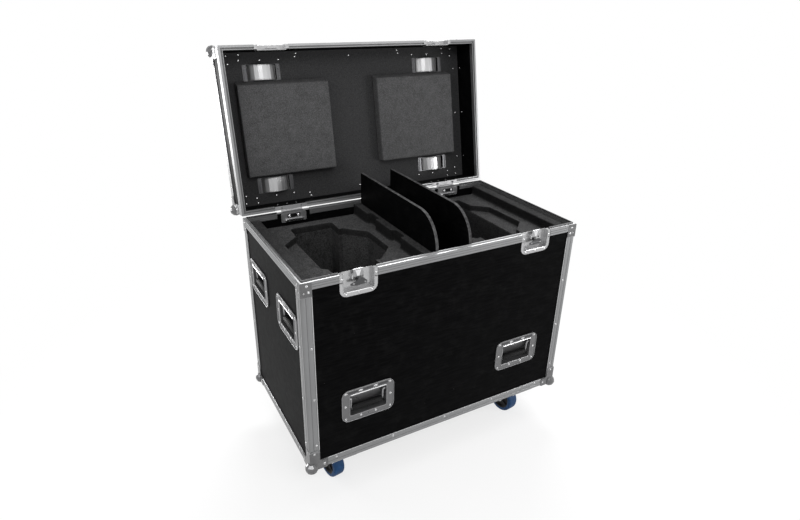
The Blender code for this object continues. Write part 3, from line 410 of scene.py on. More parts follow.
def edging(name, corners, above=None):
    """Satin aluminium, greyer on the steel ball corners and on the brackets above a level."""
    m = Nodes(name, SATIN, 0.4, 0.85)
    nearest = None
    for corner in corners:
        away = m.vector("DISTANCE", m.coordinate, corner)
        nearest = away if nearest is None else m.maths("MINIMUM", nearest, away)
    share = m.span(nearest, 1, 0, CORNER_REACH * MM, (CORNER_REACH + 1) * MM)
    if above:
        bracket = m.maths("GREATER_THAN", m.part(m.coordinate, "Z"), above)
        share = m.maths("MAXIMUM", share, bracket)
    plain = m.mix(m.patches(0.35, 0.75, 9, 5, 0.6), SATIN, darker(SATIN, 0.9))
    grey = m.mix(m.patches(0.35, 0.7, 40, 4, 0.6), FITTING, darker(FITTING, 0.7))
    m.colour(m.mix(share, plain, grey))
    finish = m.span(m.noise(15, 4, 0.5), 0.36, 0.44, 0.3, 0.7)
    m.roughness(m.maths("SUBTRACT", finish, m.maths("MULTIPLY", share, 0.12)))
    m.bump(m.noise(240, 2), 0.000006, 0.2)
    return m.made


# Heights over the floor, in metres, above which the inserts' top sheet and its blocks begin
SHEET_FOOT, BLOCK_FOOT = 0.6725, 0.7000


def foam_material(name, dark, light, wall_shade, grit):
    """Cut polyethylene foam: dull, finely porous, mottled by grit.

    Where wall shade is under 1, faces that don't look up get painted shade: by that share on the
    top sheet, by 0.75 below it; blocks are darker all over.
    """
    m = Nodes(name, light, 0.95, specular=0.1)
    pores = m.cells(430)
    fine = m.noise(1100, 3, 0.75)
    mottle = m.noise(34, 6, 0.7)
    grain = m.noise(230, 2, 0.6)
    tone = m.maths("ADD", m.maths("MULTIPLY", pores, 0.7), m.maths("MULTIPLY", mottle, 0.6))
    tone = m.maths("ADD", tone, m.maths("MULTIPLY", grain, grit))
    shade = m.mix(m.span(tone, 0, 1, 0.45 + 0.3 * grit, 0.95 + 0.4 * grit), dark, light)
    # Painted shade on the faces that don't look up; the blocks are darker all over.
    if wall_shade < 1:
        up = m.span(m.part(m.normal, "Z"), 0, 1, 0.35, 0.85)
        height = m.part(m.coordinate, "Z")
        cut = m.span(m.maths("GREATER_THAN", height, SHEET_FOOT), 0.75, wall_shade)
        block = m.span(m.maths("GREATER_THAN", height, BLOCK_FOOT), 1.0, 0.6)
        shade = m.mix(m.maths("MULTIPLY", m.maths("MAXIMUM", up, cut), block), (0, 0, 0), shade)
    m.colour(shade)
    m.bump(m.maths("ADD", pores, m.maths("MULTIPLY", fine, 0.5)), 0.0009, 0.8)
    return m.made


def rubber(name, colour, roughness, specular=0.25):
    """Moulded rubber or plastic: a matt skin, rubbed lighter in patches."""
    m = Nodes(name, colour, roughness, specular=specular)
    wear = m.noise(32.5, 5, 0.6)
    light = tuple(c * 1.7 + 0.003 for c in colour)
    m.colour(m.mix(m.span(wear, 0, 1, 0.5, 0.85), colour, light))
    m.roughness(m.span(wear, roughness - 0.08, roughness + 0.12))
    m.bump(m.noise(780, 3), 0.00015, 0.4, bevel=0.0006)
    return m.made


def corner_points(matrix, level):
    return [matrix @ Vector((side * HW, end * HD, level)) * MM for side, end in CORNERS]


LAMINATE = laminate("black_laminate")
DIVIDER = laminate("black_laminate_edged", edged=True)
LID_LAMINATE = laminate("black_laminate_lid", tuple(to_lid.to_3x3() @ Vector((0, 0, -1))))
PLY = edge_ply()
ALUMINIUM = metal("satin_aluminium", SATIN, 0.36, 0.44, 9, metallic=0.85)
BASE_EDGING = edging("edging_base", corner_points(to_base, 0), (BASE_Z + BRACKET_FOOT) * MM)
LID_EDGING = edging("edging_lid", corner_points(to_lid, LID))
# Painted light: a lighter copy of the satin aluminium for the closing profiles
LIT_RIM = metal("lit_rim_aluminium", (0.33, 0.332, 0.336), 0.34, 0.42, 9, metallic=0.9)
# Painted highlight: a lighter copy of the aluminium for the beads
BEAD_HIGHLIGHT = metal("highlight_aluminium", (0.58, 0.583, 0.588), 0.30, 0.38, 9, metallic=0.9)
DISH = metal("dish_steel", ZINC, 0.14, 0.26, 24, bevel=0.0004, metallic=0.7)
CUP = metal("cup_steel", ZINC, 0.30, 0.34, 8, bevel=0.005, dull=0.95, grain=0.0, metallic=0.8)
HANDLE = metal("handle_steel", (0.14, 0.14, 0.143), 0.26, 0.36, 24, metallic=0.6)
# Painted shade: dark strips laid in the edging's grooves and gaps
GROOVE_SHADE = metal("groove_shade_aluminium", (0.16, 0.16, 0.163), 0.5, 0.6, 20, metallic=0.6)
STEEL = metal("zinc_plated_steel", ZINC, 0.14, 0.26, 24, bevel=0.0004)
RIVETS = metal("rivet_steel", ZINC, 0.18, 0.28, 24)
BRIGHT = metal("bright_steel", (0.80, 0.80, 0.81), 0.14, 0.26, 30)
DULL = metal("dull_plate", (0.30, 0.30, 0.305), 0.34, 0.46, 30, metallic=0.7)
DARK = metal("dark_plate", (0.085, 0.085, 0.088), 0.26, 0.38, 40, bevel=0.0005)
FOAM = foam_material("black_foam", (0.008, 0.008, 0.0082), (0.074, 0.074, 0.075), 0.3, 0.8)
PAD = foam_material("pad_foam", (0.040, 0.040, 0.0405), (0.098, 0.098, 0.100), 1.0, 0.4)
RUBBER = rubber("grip_rubber", (0.005, 0.005, 0.0052), 0.5, specular=0.12)
HUB = rubber("black_hub", (0.0025, 0.0025, 0.0027), 0.62)
TREAD = rubber("blue_tread", (0.002, 0.032, 0.098), 0.55)

# The material of each CAD node, by how its name starts; the others are of STEEL
PAINTS = (
    ("base_edging", BASE_EDGING),
    ("lid_edging", LID_EDGING),
    ("base_rim", LIT_RIM),
    ("lid_rim", LIT_RIM),
    ("handle_dish", HANDLE),
    ("handle_bail", RUBBER),
    ("latch_dish", DISH),
    ("latch_keeper", DISH),
    ("latch_butterfly", DARK),
    ("stay_", DULL),
    ("lid_boards", LID_LAMINATE),
    ("divider_", DIVIDER),
    ("panel_", LAMINATE),
    ("castor_board", PLY),
    ("castor_wheel", HUB),
    ("wheel_cup", CUP),
    ("foam_", FOAM),
    ("lid_pad", FOAM),
)
for name, node in nodes.items():
    node.data.materials.clear()
    node.data.materials.append(
        next((paint for start, paint in PAINTS if name.startswith(start)), STEEL)
    )


# Rivets

RIVET = ((3.6, 0), (3.65, 0.35), (3.2, 0.95), (2.4, 1.4), (1.25, 1.62), (1.05, 1.45), (0.4, 1.38))
RIVET_SIDES = 14
PROUD, LEG_RISE = 1.3, 0.6  # fittings and the edging's ribs over the edging

# On the edging: how far in from its outside, how high on the posts, and where along the legs
RIVET_LINE = 21.5
POST_RIVETS = (85.5, 241.0, 402.0)
ROW_X, ROW_Y = spaced(5, 183.0), spaced(3, 165.0)

# On ball corners and brackets: how far in from the post's edge, and how high
CORNER_RIVETS = ((13.5, 57.0), (42.0, 13.5))
BRACKET_RIVETS = ((16.5, 582.0), (21.2, 564.5))
BRACKET_PIN = (8.6, 563.5)

# In the lid, whose lining is seen at INSIDE: in each quarter, along each side, over each stay
INSIDE = 99.2
QUARTER_RIVETS = (
    (368, 212),
    (402, 202),
    (366, 228),
    (404, 226),
    (302, 211),
    (242, 211),
    (187, 218),
    (183, 228),
)
SIDE_RIVETS, SIDE_X, SIDE_LEG = (-157, 0, 161), 415, 434.2
STAY_RIVETS, STAY_LEG, STAY_Z = (-31, 0, 31), HD - 10.8, 44
MIDDLE_Y = 216

# Latches, stays and handles. Each has a frame of its own, in a face that looks along -Y
OUT, IN, UP, DOWN = (0, -1, 0), (0, 1, 0), (0, 0, 1), (0, 0, -1)
HALF_TURN = Matrix.Rotation(math.pi, 4, "Z")
FRONT, BACK = move(0, -HD, 0), move(0, HD, 0) @ HALF_TURN
FITTING_X = 289.0
HANDLE_X, HANDLE_Z = 264, 183
SIDE_HANDLE_Y, SIDE_HANDLE_Z = 126, 427
HANDLE_PITCH, HANDLE_ROW, HANDLE_END = 46.5, 43, 70
HANDLES = {}
for word, side in SIDES:
    HANDLES[f"front_{word}"] = move(side * HANDLE_X, -HD, HANDLE_Z)
    HANDLES[f"back_{word}"] = move(side * HANDLE_X, HD, HANDLE_Z) @ HALF_TURN
    for end_word, end in ENDS:
        turn = Matrix.Rotation(side * math.pi / 2, 4, "Z")
        HANDLES[f"{word}_{end_word}"] = move(side * HW, end * SIDE_HANDLE_Y, SIDE_HANDLE_Z) @ turn


def add_rivets(shape, spots, scale=1.0):
    for at, out in spots:
        shape.turned([(r * scale, h * scale) for r, h in RIVET], RIVET_SIDES, turn_to(out, at))


def places(inset):
    """A place beside each corner on both of its faces: point and way out."""
    found = []
    for side, end in CORNERS:
        found.append(((side * (HW - inset), end * HD), (0, end, 0)))
        found.append(((side * HW, end * (HD - inset)), (side, 0, 0)))
    return found


def beside_corners(inset, height):
    return [((x, y, height), out) for (x, y), out in places(inset)]


def along_legs(height, top=None):
    """Places along the four sides at a height, and along the legs that lie on top."""
    found = []
    for side in (-1, 1):
        for y in ROW_Y:
            found.append(((side * HW, y, height), (side, 0, 0)))
            if top:
                found.append(((side * (HW - RIVET_LINE), y, top), UP))
    for end in (-1, 1):
        for x in ROW_X:
            found.append(((x, end * HD, height), (0, end, 0)))
            if top:
                found.append(((x, end * (HD - RIVET_LINE), top), UP))
    return found


def on(matrix, spots):
    """Rivet places given in a fitting's own frame."""
    return [(matrix @ Vector(spot), matrix.to_3x3() @ Vector(OUT)) for spot in spots]


def on_fittings(level, row, pair):
    """Three rivets and a pair on each latch and stay, by their heights over a level."""
    spots = [(a, 0, row) for a in (-36, 0, 36)] + [(a, 0, pair) for a in (-47.5, 47.5)]
    found = []
    for x in (-FITTING_X, FITTING_X):
        for face in (FRONT, BACK):
            found += on(face @ move(x, 0, level), spots)
    return found


def raised(spots, height):
    return [(Vector(at) + Vector(out) * height, out) for at, out in spots]


base_rivets, lid_rivets = Shape(to_base), Shape(to_lid)
spots = []
for height in POST_RIVETS:
    spots += beside_corners(RIVET_LINE, height)
add_rivets(base_rivets, raised(spots + along_legs(RIVET_LINE), LEG_RISE))
spots = []
for inset, height in BRACKET_RIVETS + CORNER_RIVETS:
    spots += raised(beside_corners(inset, height), PROUD)
spots += on_fittings(BASE, -58.5, -14)
for at in HANDLES.values():
    rows = [(a, 0, b) for b in (-HANDLE_ROW, HANDLE_ROW) for a in spaced(4, HANDLE_PITCH)]
    spots += on(at, rows + [(-HANDLE_END, 0, 0), (HANDLE_END, 0, 0)])
add_rivets(base_rivets, spots, 1.05)
add_rivets(base_rivets, raised(beside_corners(*BRACKET_PIN), PROUD), 0.6)

spots = raised(along_legs(LID - RIVET_LINE, LID), LEG_RISE)
for inset, height in CORNER_RIVETS:
    spots += raised(beside_corners(inset, LID - height), PROUD)
for side, end in CORNERS:
    for a, b in ((42, 13.5), (13.5, 42)):
        spots.append(((side * (HW - a), end * (HD - b), LID + PROUD), UP))
add_rivets(lid_rivets, spots + on_fittings(0, 31.5, 14))
small = []
for side in (-1, 1):
    for end in (-1, 1):
        small += [((side * x, end * y, INSIDE), DOWN) for x, y in QUARTER_RIVETS]
    for y in SIDE_RIVETS:
        small.append(((side * SIDE_X, y, INSIDE), DOWN))
        small.append(((side * SIDE_LEG, y, INSIDE - 12), (-side, 0, 0)))
    for x in STAY_RIVETS:
        small.append(((side * FITTING_X + x, STAY_LEG, STAY_Z), OUT))
small += [((0, y, INSIDE), DOWN) for y in (-MIDDLE_Y, MIDDLE_Y)]
add_rivets(lid_rivets, small, 0.85)
base_rivets.piece("rivets_base", RIVETS, "base", "zinc_steel")
lid_rivets.piece("rivets_lid", RIVETS, "lid", "zinc_steel")


# Ribs drawn along the edging and the closing profiles, with painted shade in their grooves and
# painted highlights on their beads

CUT = 53.6  # half the gap at a latch or a stay
RIM_RISE, INNER_RISE, GROOVE = 1.0, 0.25, 0.08
INNER_LEG = 12.3  # the closing profile's inner leg, in from the outside

# Bands, from and to: down from the mouth, up from it, in from the edging's edge, on the inner leg
RIM_BANDS = ((0.5, 7.2), (8.7, 13.9), (15.4, 21.6))
LID_BANDS = ((1.0, 8.2), (9.7, 16.2), (17.7, 25.2))
LEG_BANDS = ((2.6, 11.8), (13.8, 26.2))
INNER_BANDS = ((1.2, 5.0), (6.2, 10.4), (11.6, 16.4))
LEG_GROOVE, LEG_BEAD, BEAD_RISE = (26.3, 28.2), (28.0, 29.9), 0.8
GROOVE_FLOOR = 4.6  # of the lid's closing profile
EAR_LINE = 23  # down from the mouth
ARM_END, POST_FOOT, POST_TOP = 53, 69, 549.5  # where ball corners and brackets leave the bands


def stretches(reach):
    """The lengths of a long side between its corners, the latches and the stays."""
    edges = (-reach, -FITTING_X - CUT, -FITTING_X + CUT, FITTING_X - CUT, FITTING_X + CUT, reach)
    return list(zip(edges[::2], edges[1::2]))


def gaps(spans):
    """Painted shade for the grooves between bands, a little wider than they are seen."""
    return [(a[1] - 0.3, b[0] + 0.3) for a, b in zip(spans, spans[1:])]


def round_mouth(shape, inset, stop, z, width, rise, way=0, up=0, flat=True):
    """Strips right round a closing profile, cut at the latches and the stays.

    They lie inset from the outside, stop short of its corners, and look outwards by way or
    upwards by up.
    """
    for end in (-1, 1):
        y = end * (HD - inset)
        for low, high in stretches(HW - stop):
            shape.strip((low, y, z), (high, y, z), (0, end * way, up), width, rise, flat)
    for side in (-1, 1):
        x = side * (HW - inset)
        start, finish = (x, stop - HD, z), (x, HD - stop, z)
        shape.strip(start, finish, (side * way, 0, up), width, rise, flat)


def bands(shape, spans, level, step, inset, rise, way):
    """Flat bands right round a closing profile, on its outer face or its inner leg."""
    for low, high in spans:
        z = level + step * (low + high) / 2
        round_mouth(shape, inset, inset, z, high - low, rise, way)


def legs(on_base, on_lid, spans, rise):
    """Flat bands along the edging's legs, between the ball corners and the brackets."""
    reach_x, reach_y = HW - ARM_END, HD - ARM_END
    for low, high in spans:
        middle, width = (low + high) / 2, high - low
        for (x, y), out in places(middle):
            on_base.strip((x, y, POST_FOOT), (x, y, POST_TOP), out, width, rise, True)
        for end in (-1, 1):
            face, top, way = end * HD, end * (HD - middle), (0, end, 0)
            for shape, y, z, out in (
                (on_base, face, middle, way),
                (on_lid, face, LID - middle, way),
                (on_lid, top, LID, UP),
            ):
                shape.strip((-reach_x, y, z), (reach_x, y, z), out, width, rise, True)
        for side in (-1, 1):
            face, top, way = side * HW, side * (HW - middle), (side, 0, 0)
            for shape, x, z, out in (
                (on_base, face, middle, way),
                (on_lid, face, LID - middle, way),
                (on_lid, top, LID, UP),
            ):
                shape.strip((x, -reach_y, z), (x, reach_y, z), out, width, rise, True)


base_ribs, base_groove_shade, base_beads = Shape(to_base), Shape(to_base), Shape(to_base)
lid_ribs, lid_groove_shade, lid_beads = Shape(to_lid), Shape(to_lid), Shape(to_lid)
for ribs, grooves, outer, level, step in (
    (base_ribs, base_groove_shade, RIM_BANDS, BASE, -1),
    (lid_ribs, lid_groove_shade, LID_BANDS, 0, 1),
):
    for spans, inset, rise, way in (
        (outer, 0, RIM_RISE, 1),
        (INNER_BANDS, INNER_LEG, INNER_RISE, -1),
    ):
        bands(ribs, spans, level, step, inset, rise, way)
        # Painted shade in the grooves between the bands
        bands(grooves, gaps(spans), level, step, inset, GROOVE, way)
legs(base_ribs, lid_ribs, LEG_BANDS, LEG_RISE)
# Painted shade in the grooves along the legs
legs(base_groove_shade, lid_groove_shade, gaps(LEG_BANDS) + [LEG_GROOVE], GROOVE)
legs(base_beads, lid_beads, [LEG_BEAD], BEAD_RISE)
# Painted shade: dark strips on the floor of the lid's groove, and lines across the ears of the
# latch dishes
round_mouth(lid_groove_shade, 8, 6.2, GROOVE_FLOOR, width=3.2, rise=0.3, up=-1)
for x in (-FITTING_X, FITTING_X):
    for a, b in ((-52.6, -44.8), (44.8, 52.6)):
        y, z = -HD - PROUD, BASE - EAR_LINE
        base_groove_shade.strip((x + a, y, z), (x + b, y, z), OUT, width=1.8, rise=0.12, flat=True)
base_groove_shade.piece("edging_groove_shade_base", GROOVE_SHADE, "base", "aluminium_edging")
lid_groove_shade.piece("edging_groove_shade_lid", GROOVE_SHADE, "lid", "aluminium_edging")
# Painted highlights: lighter beads round the base's mouth and along the legs
round_mouth(base_beads, 3, 1, BASE, width=5.4, rise=0.2, up=1, flat=False)
base_beads.piece("edging_beads_base", BEAD_HIGHLIGHT, "base", "aluminium_edging")
lid_beads.piece("edging_beads_lid", BEAD_HIGHLIGHT, "lid", "aluminium_edging")
base_ribs.piece("edging_ribs_base", ALUMINIUM, "base", "aluminium_edging")
lid_ribs.piece("edging_ribs_lid", ALUMINIUM, "lid", "aluminium_edging")


# Handles: rolled rim, a painted highlight along the top of the opening, pressed bars in painted
# shade, and a sprung bail with a fluted rubber grip

# Half sizes and corner radius of the dish's opening and of its flange
RECESS, FLANGE = (57, 34.5, 2.5), (79.6, 51.2, 20.1)
BAR_Y, BAR_Z = 11, -16  # the bail's long bar, in its dish's frame
GRIP_SIDES, GRIP_RADIUS = 96, 8.72
FLUTES, FLUTE = 16, 0.26  # how many, and how far they go in and out
# The grip's half, from its end: how far from the middle, and its share of the radius
GRIP = ((46.9, 0.74), (46.6, 0.88), (45.6, 0.965), (44, 1), (43.2, 0.955), (42.4, 1), (0, 1))
BAIL = (
    (-58, 8, 18),
    (-50, 8, 18),
    (-50, BAR_Y, BAR_Z),
    (50, BAR_Y, BAR_Z),
    (50, 8, 18),
    (58, 8, 18),
)
WASHER = ((3.0, 0), (6.4, 0.1), (6.8, 0.5), (6.4, 0.9), (3.0, 1.0))
WASHER_X = 47.1  # beside the grip's end


def grip_rings():
    """Rings of a grip with flutes along it, from one end to the other."""
    half = [(-x, scale) for x, scale in GRIP]
    rings = []
    for x, scale in half + [(-x, scale) for x, scale in reversed(half[:-1])]:
        ring = []
        for k in range(GRIP_SIDES):
            angle = math.tau * k / GRIP_SIDES
            r = scale * (GRIP_RADIUS + FLUTE * math.cos(FLUTES * angle))
            ring.append((x, BAR_Y + r * math.cos(angle), BAR_Z + r * math.sin(angle)))
        rings.append(ring)
    return rings


trim, bar_shade, rolled_edge = Shape(to_base), Shape(to_base), Shape(to_base)
for at in HANDLES.values():
    rolled_edge.bead(*RECESS, width=1.7, rise=1.3, matrix=at)
    # Painted highlight: a bright bar along the top of the opening
    trim.tube([(-55, -0.5, 35.2), (55, -0.5, 35.2)], radius=1.9, sides=12, matrix=at)
    rolled_edge.bead(*FLANGE, width=1.7, rise=2.0, matrix=at)
    # Painted shade: the pressed bars are dark plates
    for x in spaced(3, HANDLE_PITCH):
        place = at @ move(x, 0, HANDLE_ROW)
        bar_shade.plate(rounded(15, 3.0, 2.8, 4), -0.75, 0.2, soft=0.35, matrix=place)
        for a in (-19.3, 19.3):
            dot = rounded(1.7, 1.7, 1.65, 3)
            trim.plate(dot, -0.6, 0.2, soft=0.25, matrix=place @ move(a, 0, 0))
bar_shade.piece("handle_bars", DARK, "base", "zinc_steel")
rolled_edge.piece("handle_edges", DULL, "base", "zinc_steel")
trim.piece("handle_trim", BRIGHT, "base", "zinc_steel")

for word, at in HANDLES.items():
    body, stand_in = f"bail_{word}", (f"handle_bail_{word}",)
    grip = Shape(to_base @ at)
    grip.skin(grip_rings())
    grip.piece(f"bail_grip_{word}", RUBBER, body, "grip_rubber", 50.0, stand_in)
    bar = Shape(to_base @ at)
    bar.tube(bent(BAIL, radius=4.5), radius=3.1, sides=12)
    for side in (-1, 1):
        bar.turned(WASHER, 20, turn_to((side, 0, 0), (side * WASHER_X, BAR_Y, BAR_Z)))
    bar.piece(f"bail_rod_{word}", DULL, body, "zinc_steel", 50.0)


# Latches: folding half-moon wings with two studs, a cam plate that hooks the keeper, a rolled rim

# Points of the fittings are (x, y, z) with y inwards from the face
HUB_Z = BASE - 27  # the butterfly's axis
WING_FACE, WING_FOOT = 1.0, 2.4
MOON = [(0, 3.4), (-24.8, -5.4), (-22.5, -9.6), (-6, -12.6), (22, -10.8), (24.8, -4.2), (12.6, 7.0)]
WING_BAR_Z = -5.6  # the bar that the wings fold on, from the hub
AXIS = ((5.0, 0), (5.0, 11.0))
STUD = ((2.6, 0.1), (2.6, 0.5), (2.2, 1.0), (1.2, 1.3), (0.3, 1.35))
CAM = ((13.6, 4.8), (-13.6, 4.8), (-13.6, -15), (13.6, -15))
CAM_LIP = ((4.4, 3.0), (7.7, 3.0), (7.7, 4.4), (7.2, 5.0), (4.4, 5.0))
CAM_RIVET = ((1.7, 0), (1.7, 0.2), (1.1, 0.5), (0.2, 0.55))
BLADE = ((8.6, 2.6), (-8.6, 2.6), (-5.0, -7), (-3.2, -14), (3.2, -14), (5.0, -7))
RIM_HALF, RIM_FOOT, RIM_Y = 43.6, -53.8, -0.1  # the dish's rolled rim

moon = [(p.x, p.z) for p in bent([(a, 0, b) for a, b in MOON + MOON[:1]], radius=2.4)[:-1]]
for word, side in SIDES:
    hub = FRONT @ move(side * FITTING_X, 0, HUB_Z)
    body, stand_in = f"butterfly_{word}", (f"latch_butterfly_{word}",)
    wings = Shape(to_base @ hub)
    wings.plate(moon, WING_FACE, WING_FOOT, soft=0.5)
    wings.tube([(-20.5, 2.0, WING_BAR_Z), (20.5, 2.0, WING_BAR_Z)], radius=0.95, sides=12)
    for a in (-13.5, -4.5, 4.5, 13.5):
        knuckle = [(a - 3.2, 1.9, WING_BAR_Z), (a + 3.2, 1.9, WING_BAR_Z)]
        wings.tube(knuckle, radius=1.25, sides=12)
    wings.turned(AXIS, 20, turn_to(IN, (0, WING_FOOT, 0)))
    wings.piece(f"latch_wings_{word}", DARK, body, "dark_plate", 35.0, stand_in)
    studs = Shape(to_base @ hub)
    for a in (-14.0, 18.5):
        studs.turned(STUD, 16, turn_to(OUT, (a, 1.5, -6.6)))
    studs.piece(f"latch_studs_{word}", DULL, body, "zinc_steel")

    body, stand_in = f"hook_{word}", (f"latch_hook_{word}",)
    hook_at = to_base @ FRONT @ move(side * FITTING_X, 0, BASE)
    cam = Shape(hook_at)
    cam.plate(CAM, 4.2, 5.0, soft=0.2)
    cam.prism(CAM_LIP, -14, 14)
    for a in (-11.4, 11.4):
        cam.turned(CAM_RIVET, 12, turn_to(OUT, (a, 4.2, -1.5)))
    cam.piece(f"latch_cam_{word}", DULL, body, "zinc_steel", 35.0, stand_in)
    bar = Shape(hook_at)
    bar.plate(BLADE, 3.5, 4.25, soft=0.25)
    bar.tube([(-12.6, 4.9, 5.4), (12.6, 4.9, 5.4)], radius=1.2, sides=14)
    for a in (-11.8, 0, 11.8):
        bar.tube([(a, 4.8, 3.4), (a, 4.9, 5.2)], radius=0.8, sides=8)
    bar.piece(f"latch_bar_{word}", BRIGHT, body, "zinc_steel", 35.0)


def rim_line(open_end, foot, radius):
    """Down, across and up again round a dish whose mouth is open."""
    corners = ((-RIM_HALF, open_end), (-RIM_HALF, foot), (RIM_HALF, foot), (RIM_HALF, open_end))
    return bent([(x, RIM_Y, z) for x, z in corners], radius)


rolled, keeper_rolled, lips = Shape(to_base), Shape(to_lid), Shape(to_base)
for x in (-FITTING_X, FITTING_X):
    at = FRONT @ move(x, 0, BASE)
    rolled.tube(rim_line(-2, RIM_FOOT, radius=6), radius=1.15, sides=10, matrix=at)
    # Painted highlight: a bright bar along the foot of the rim
    lip = [(-35, RIM_Y, RIM_FOOT + 0.6), (35, RIM_Y, RIM_FOOT + 0.6)]
    lips.tube(lip, radius=1.8, sides=12, matrix=at)
    at = FRONT @ move(x, 0, 0)
    keeper_rolled.tube(rim_line(3, 26, radius=4), radius=1.05, sides=10, matrix=at)
    at = BACK @ move(x, 0, BASE) @ move(0, 0, -40)
    rolled.plate(rounded(37, 7.5, 3, 4), -0.7, 0.2, soft=0.4, matrix=at)
    at = BACK @ move(x, 0, 0) @ move(0, 0, 19)
    keeper_rolled.plate(rounded(36, 6, 3, 4), -0.7, 0.2, soft=0.4, matrix=at)
rolled.piece("fitting_trim_base", STEEL, "base", "zinc_steel")
lips.piece("latch_lips", BRIGHT, "base", "zinc_steel")
keeper_rolled.piece("fitting_trim_lid", STEEL, "lid", "zinc_steel")


# Lid stays: cover plates inside the case, their rivets and lower lips, and the lid's side arms

WINDOW_FACE, WINDOW_Z = 15.3, -11.4
ARM = ((2.2, 1.8), (9.6, 1.8), (10.2, -2.8), (8.0, -6.6), (3.4, -4.4))
ARM_SHEET = 1.5
STAY_RIVET = [(r * 1.1, h * 1.2) for r, h in RIVET]

covers, windows, bright, arms = Shape(to_base), Shape(to_base), Shape(to_base), Shape(to_lid)
for x in (-FITTING_X, FITTING_X):
    at = BACK @ move(x, 0, BASE)
    covers.plate(rounded(41, 14.6, 4, 4), 10.9, 14.9, soft=0.5, matrix=at @ move(0, 0, -17.2))
    window_at = at @ move(0, 0, WINDOW_Z)
    windows.plate(rounded(21, 6.6, 1.5, 4), 14.5, WINDOW_FACE, soft=0.3, matrix=window_at)
    for a in (-14.5, 14.5):
        bright.turned(STAY_RIVET, 16, at @ turn_to(IN, (a, WINDOW_FACE, WINDOW_Z)))
    bright.plate(rounded(30, 4.2, 4.0), 14.5, 21.0, soft=2.2, matrix=at @ move(0, 0, -25.5))
    for a in (-32.4, 30.9):
        arms.prism(ARM, a, a + ARM_SHEET, BACK @ move(x, 0, 0))
covers.piece("stay_covers", DULL, "base", "zinc_steel")
windows.piece("stay_windows", DARK, "base", "dark_plate")
bright.piece("stay_lips", BRIGHT, "base", "zinc_steel")
arms.piece("stay_arms", STEEL, "lid", "zinc_steel")


# Frames round the wheel cups, on the inside of the lid

CUP_X, CUP_Y = 300, 174
FRAME_FOOT, FRAME_TOP = INSIDE + 0.1, INSIDE - 1.2
# Outlines from a frame's opening to its outer edge, and their levels
CUP_FRAME = (
    (rounded(46.9, 23.3, 2), FRAME_FOOT),
    (rounded(46.9, 23.3, 2), FRAME_TOP),
    (rounded(59.5, 24.5, 3), FRAME_TOP),
    (rounded(59.9, 24.7, 3.2), FRAME_FOOT),
)

frames = Shape(to_lid)
for side, end in CORNERS:
    x, y, z = side * CUP_X, end * CUP_Y, INSIDE - 1.1
    rings = [[(x + a, y + b, level) for a, b in outline] for outline, level in CUP_FRAME]
    frames.skin(rings, loop=True)
    for a in (-54.5, 54.5):
        frames.strip((x + a, y - 22, z), (x + a, y + 22, z), DOWN, width=4, rise=1.3)
frames.piece("cup_frames", DARK, "lid", "dark_plate")


# Castors: blue treads on ribbed hubs, top plates with their bolts, ball races

# Profiles are (radius, along); the race and the top plate have heights over the floor
CASTOR_X, CASTOR_Y = 335, 172.5
SWIVEL = math.radians(8)  # the forks at rest
AXLE = (0, 35, 50)  # a wheel's middle, from the floor under its swivel
TREAD_HALF = [(38.2, -18.1), (45.6, -18.2), (48.0, -17.2), (49.5, -14.6), (50, -10.5)]
HUB_HALF = [
    (5.3, 17),
    (9.5, 17),
    (10.5, 16),
    (14, 15.6),
    (15.4, 11.6),
    (33.5, 10.4),
    (35.2, 16.6),
    (38.3, 17.7),
]
SPOKES, SPOKE_HALF = 5, 2.3
SPOKE = ((14, 9.5), (34.4, 9.5), (34.4, 14.4), (14, 14.9))
PLATE_FOOT, PLATE_TOP, PLATE_SOFT = 122.8, 126.35, 0.5
PLATE_LEVELS = ((PLATE_FOOT, PLATE_SOFT), (PLATE_FOOT + PLATE_SOFT, 0), (PLATE_TOP, 0))
RACE = (
    (24.5, 112.9),
    (26.4, 113.2),
    (27.4, 115.4),
    (27.4, 117.4),
    (26.2, 118.4),
    (28.6, 119.6),
    (29.4, 122.9),
)
BOLT_HEAD = ((6.2, -0.2), (6.2, 3.4), (5.2, 4.2))
BOLT_END = ((3.6, 4.0), (3.6, 5.8), (3.0, 6.3))

plates, bolts = Shape(move(0, SHIFT, 0)), Shape(move(0, SHIFT, 0))
for word, side in SIDES:
    for end_word, end in ENDS:
        x, y = side * CASTOR_X, end * CASTOR_Y
        name = f"{end_word}_{word}"
        wheel = f"castor_wheel_{name}"
        swivel = move(x, y + SHIFT, 0) @ Matrix.Rotation(SWIVEL, 4, "Z")
        axle = swivel @ turn_to((1, 0, 0), AXLE)
        tread = Shape()
        tread.turned(mirrored(TREAD_HALF), 64, axle, loop=True)
        tread.piece(f"wheel_tread_{name}", TREAD, wheel, "blue_tread", 30.0, (wheel,))
        hub = Shape()
        hub.turned(mirrored(HUB_HALF), 56, axle, loop=True)
        for k in range(SPOKES):
            turn = axle @ Matrix.Rotation(math.tau * k / SPOKES, 4, "Z")
            for face in (-1, 1):
                ends = [[(r, w, face * h) for r, h in SPOKE] for w in (-SPOKE_HALF, SPOKE_HALF)]
                hub.skin(ends, turn)
        hub.piece(f"wheel_hub_{name}", HUB, wheel, "grip_rubber", 35.0)
        at = move(x, y, 0)
        rings = []
        for level, inset in PLATE_LEVELS:
            scale_x, scale_y = 1 - inset / 42, 1 - inset / 52
            rings.append([(a * scale_x, b * scale_y, level) for a, b in rounded(42.4, 52.4, 7)])
        plates.skin(rings, at)
        plates.turned(RACE, 40, at)
        for a in (-34, 34):
            for b in (-44, 44):
                under = at @ turn_to(DOWN, (a, b, PLATE_FOOT))
                bolts.turned(BOLT_HEAD, 6, under)
                bolts.turned(BOLT_END, 14, under)
plates.piece("castor_plates", STEEL, "base", "zinc_steel")
bolts.piece("castor_bolts", BRIGHT, "base", "zinc_steel", 30.0)


# Foam, cut a little soft at its edges

GRAIN = 26  # how fine the unevenness of its faces is
FOAM_WELD = 0.00001


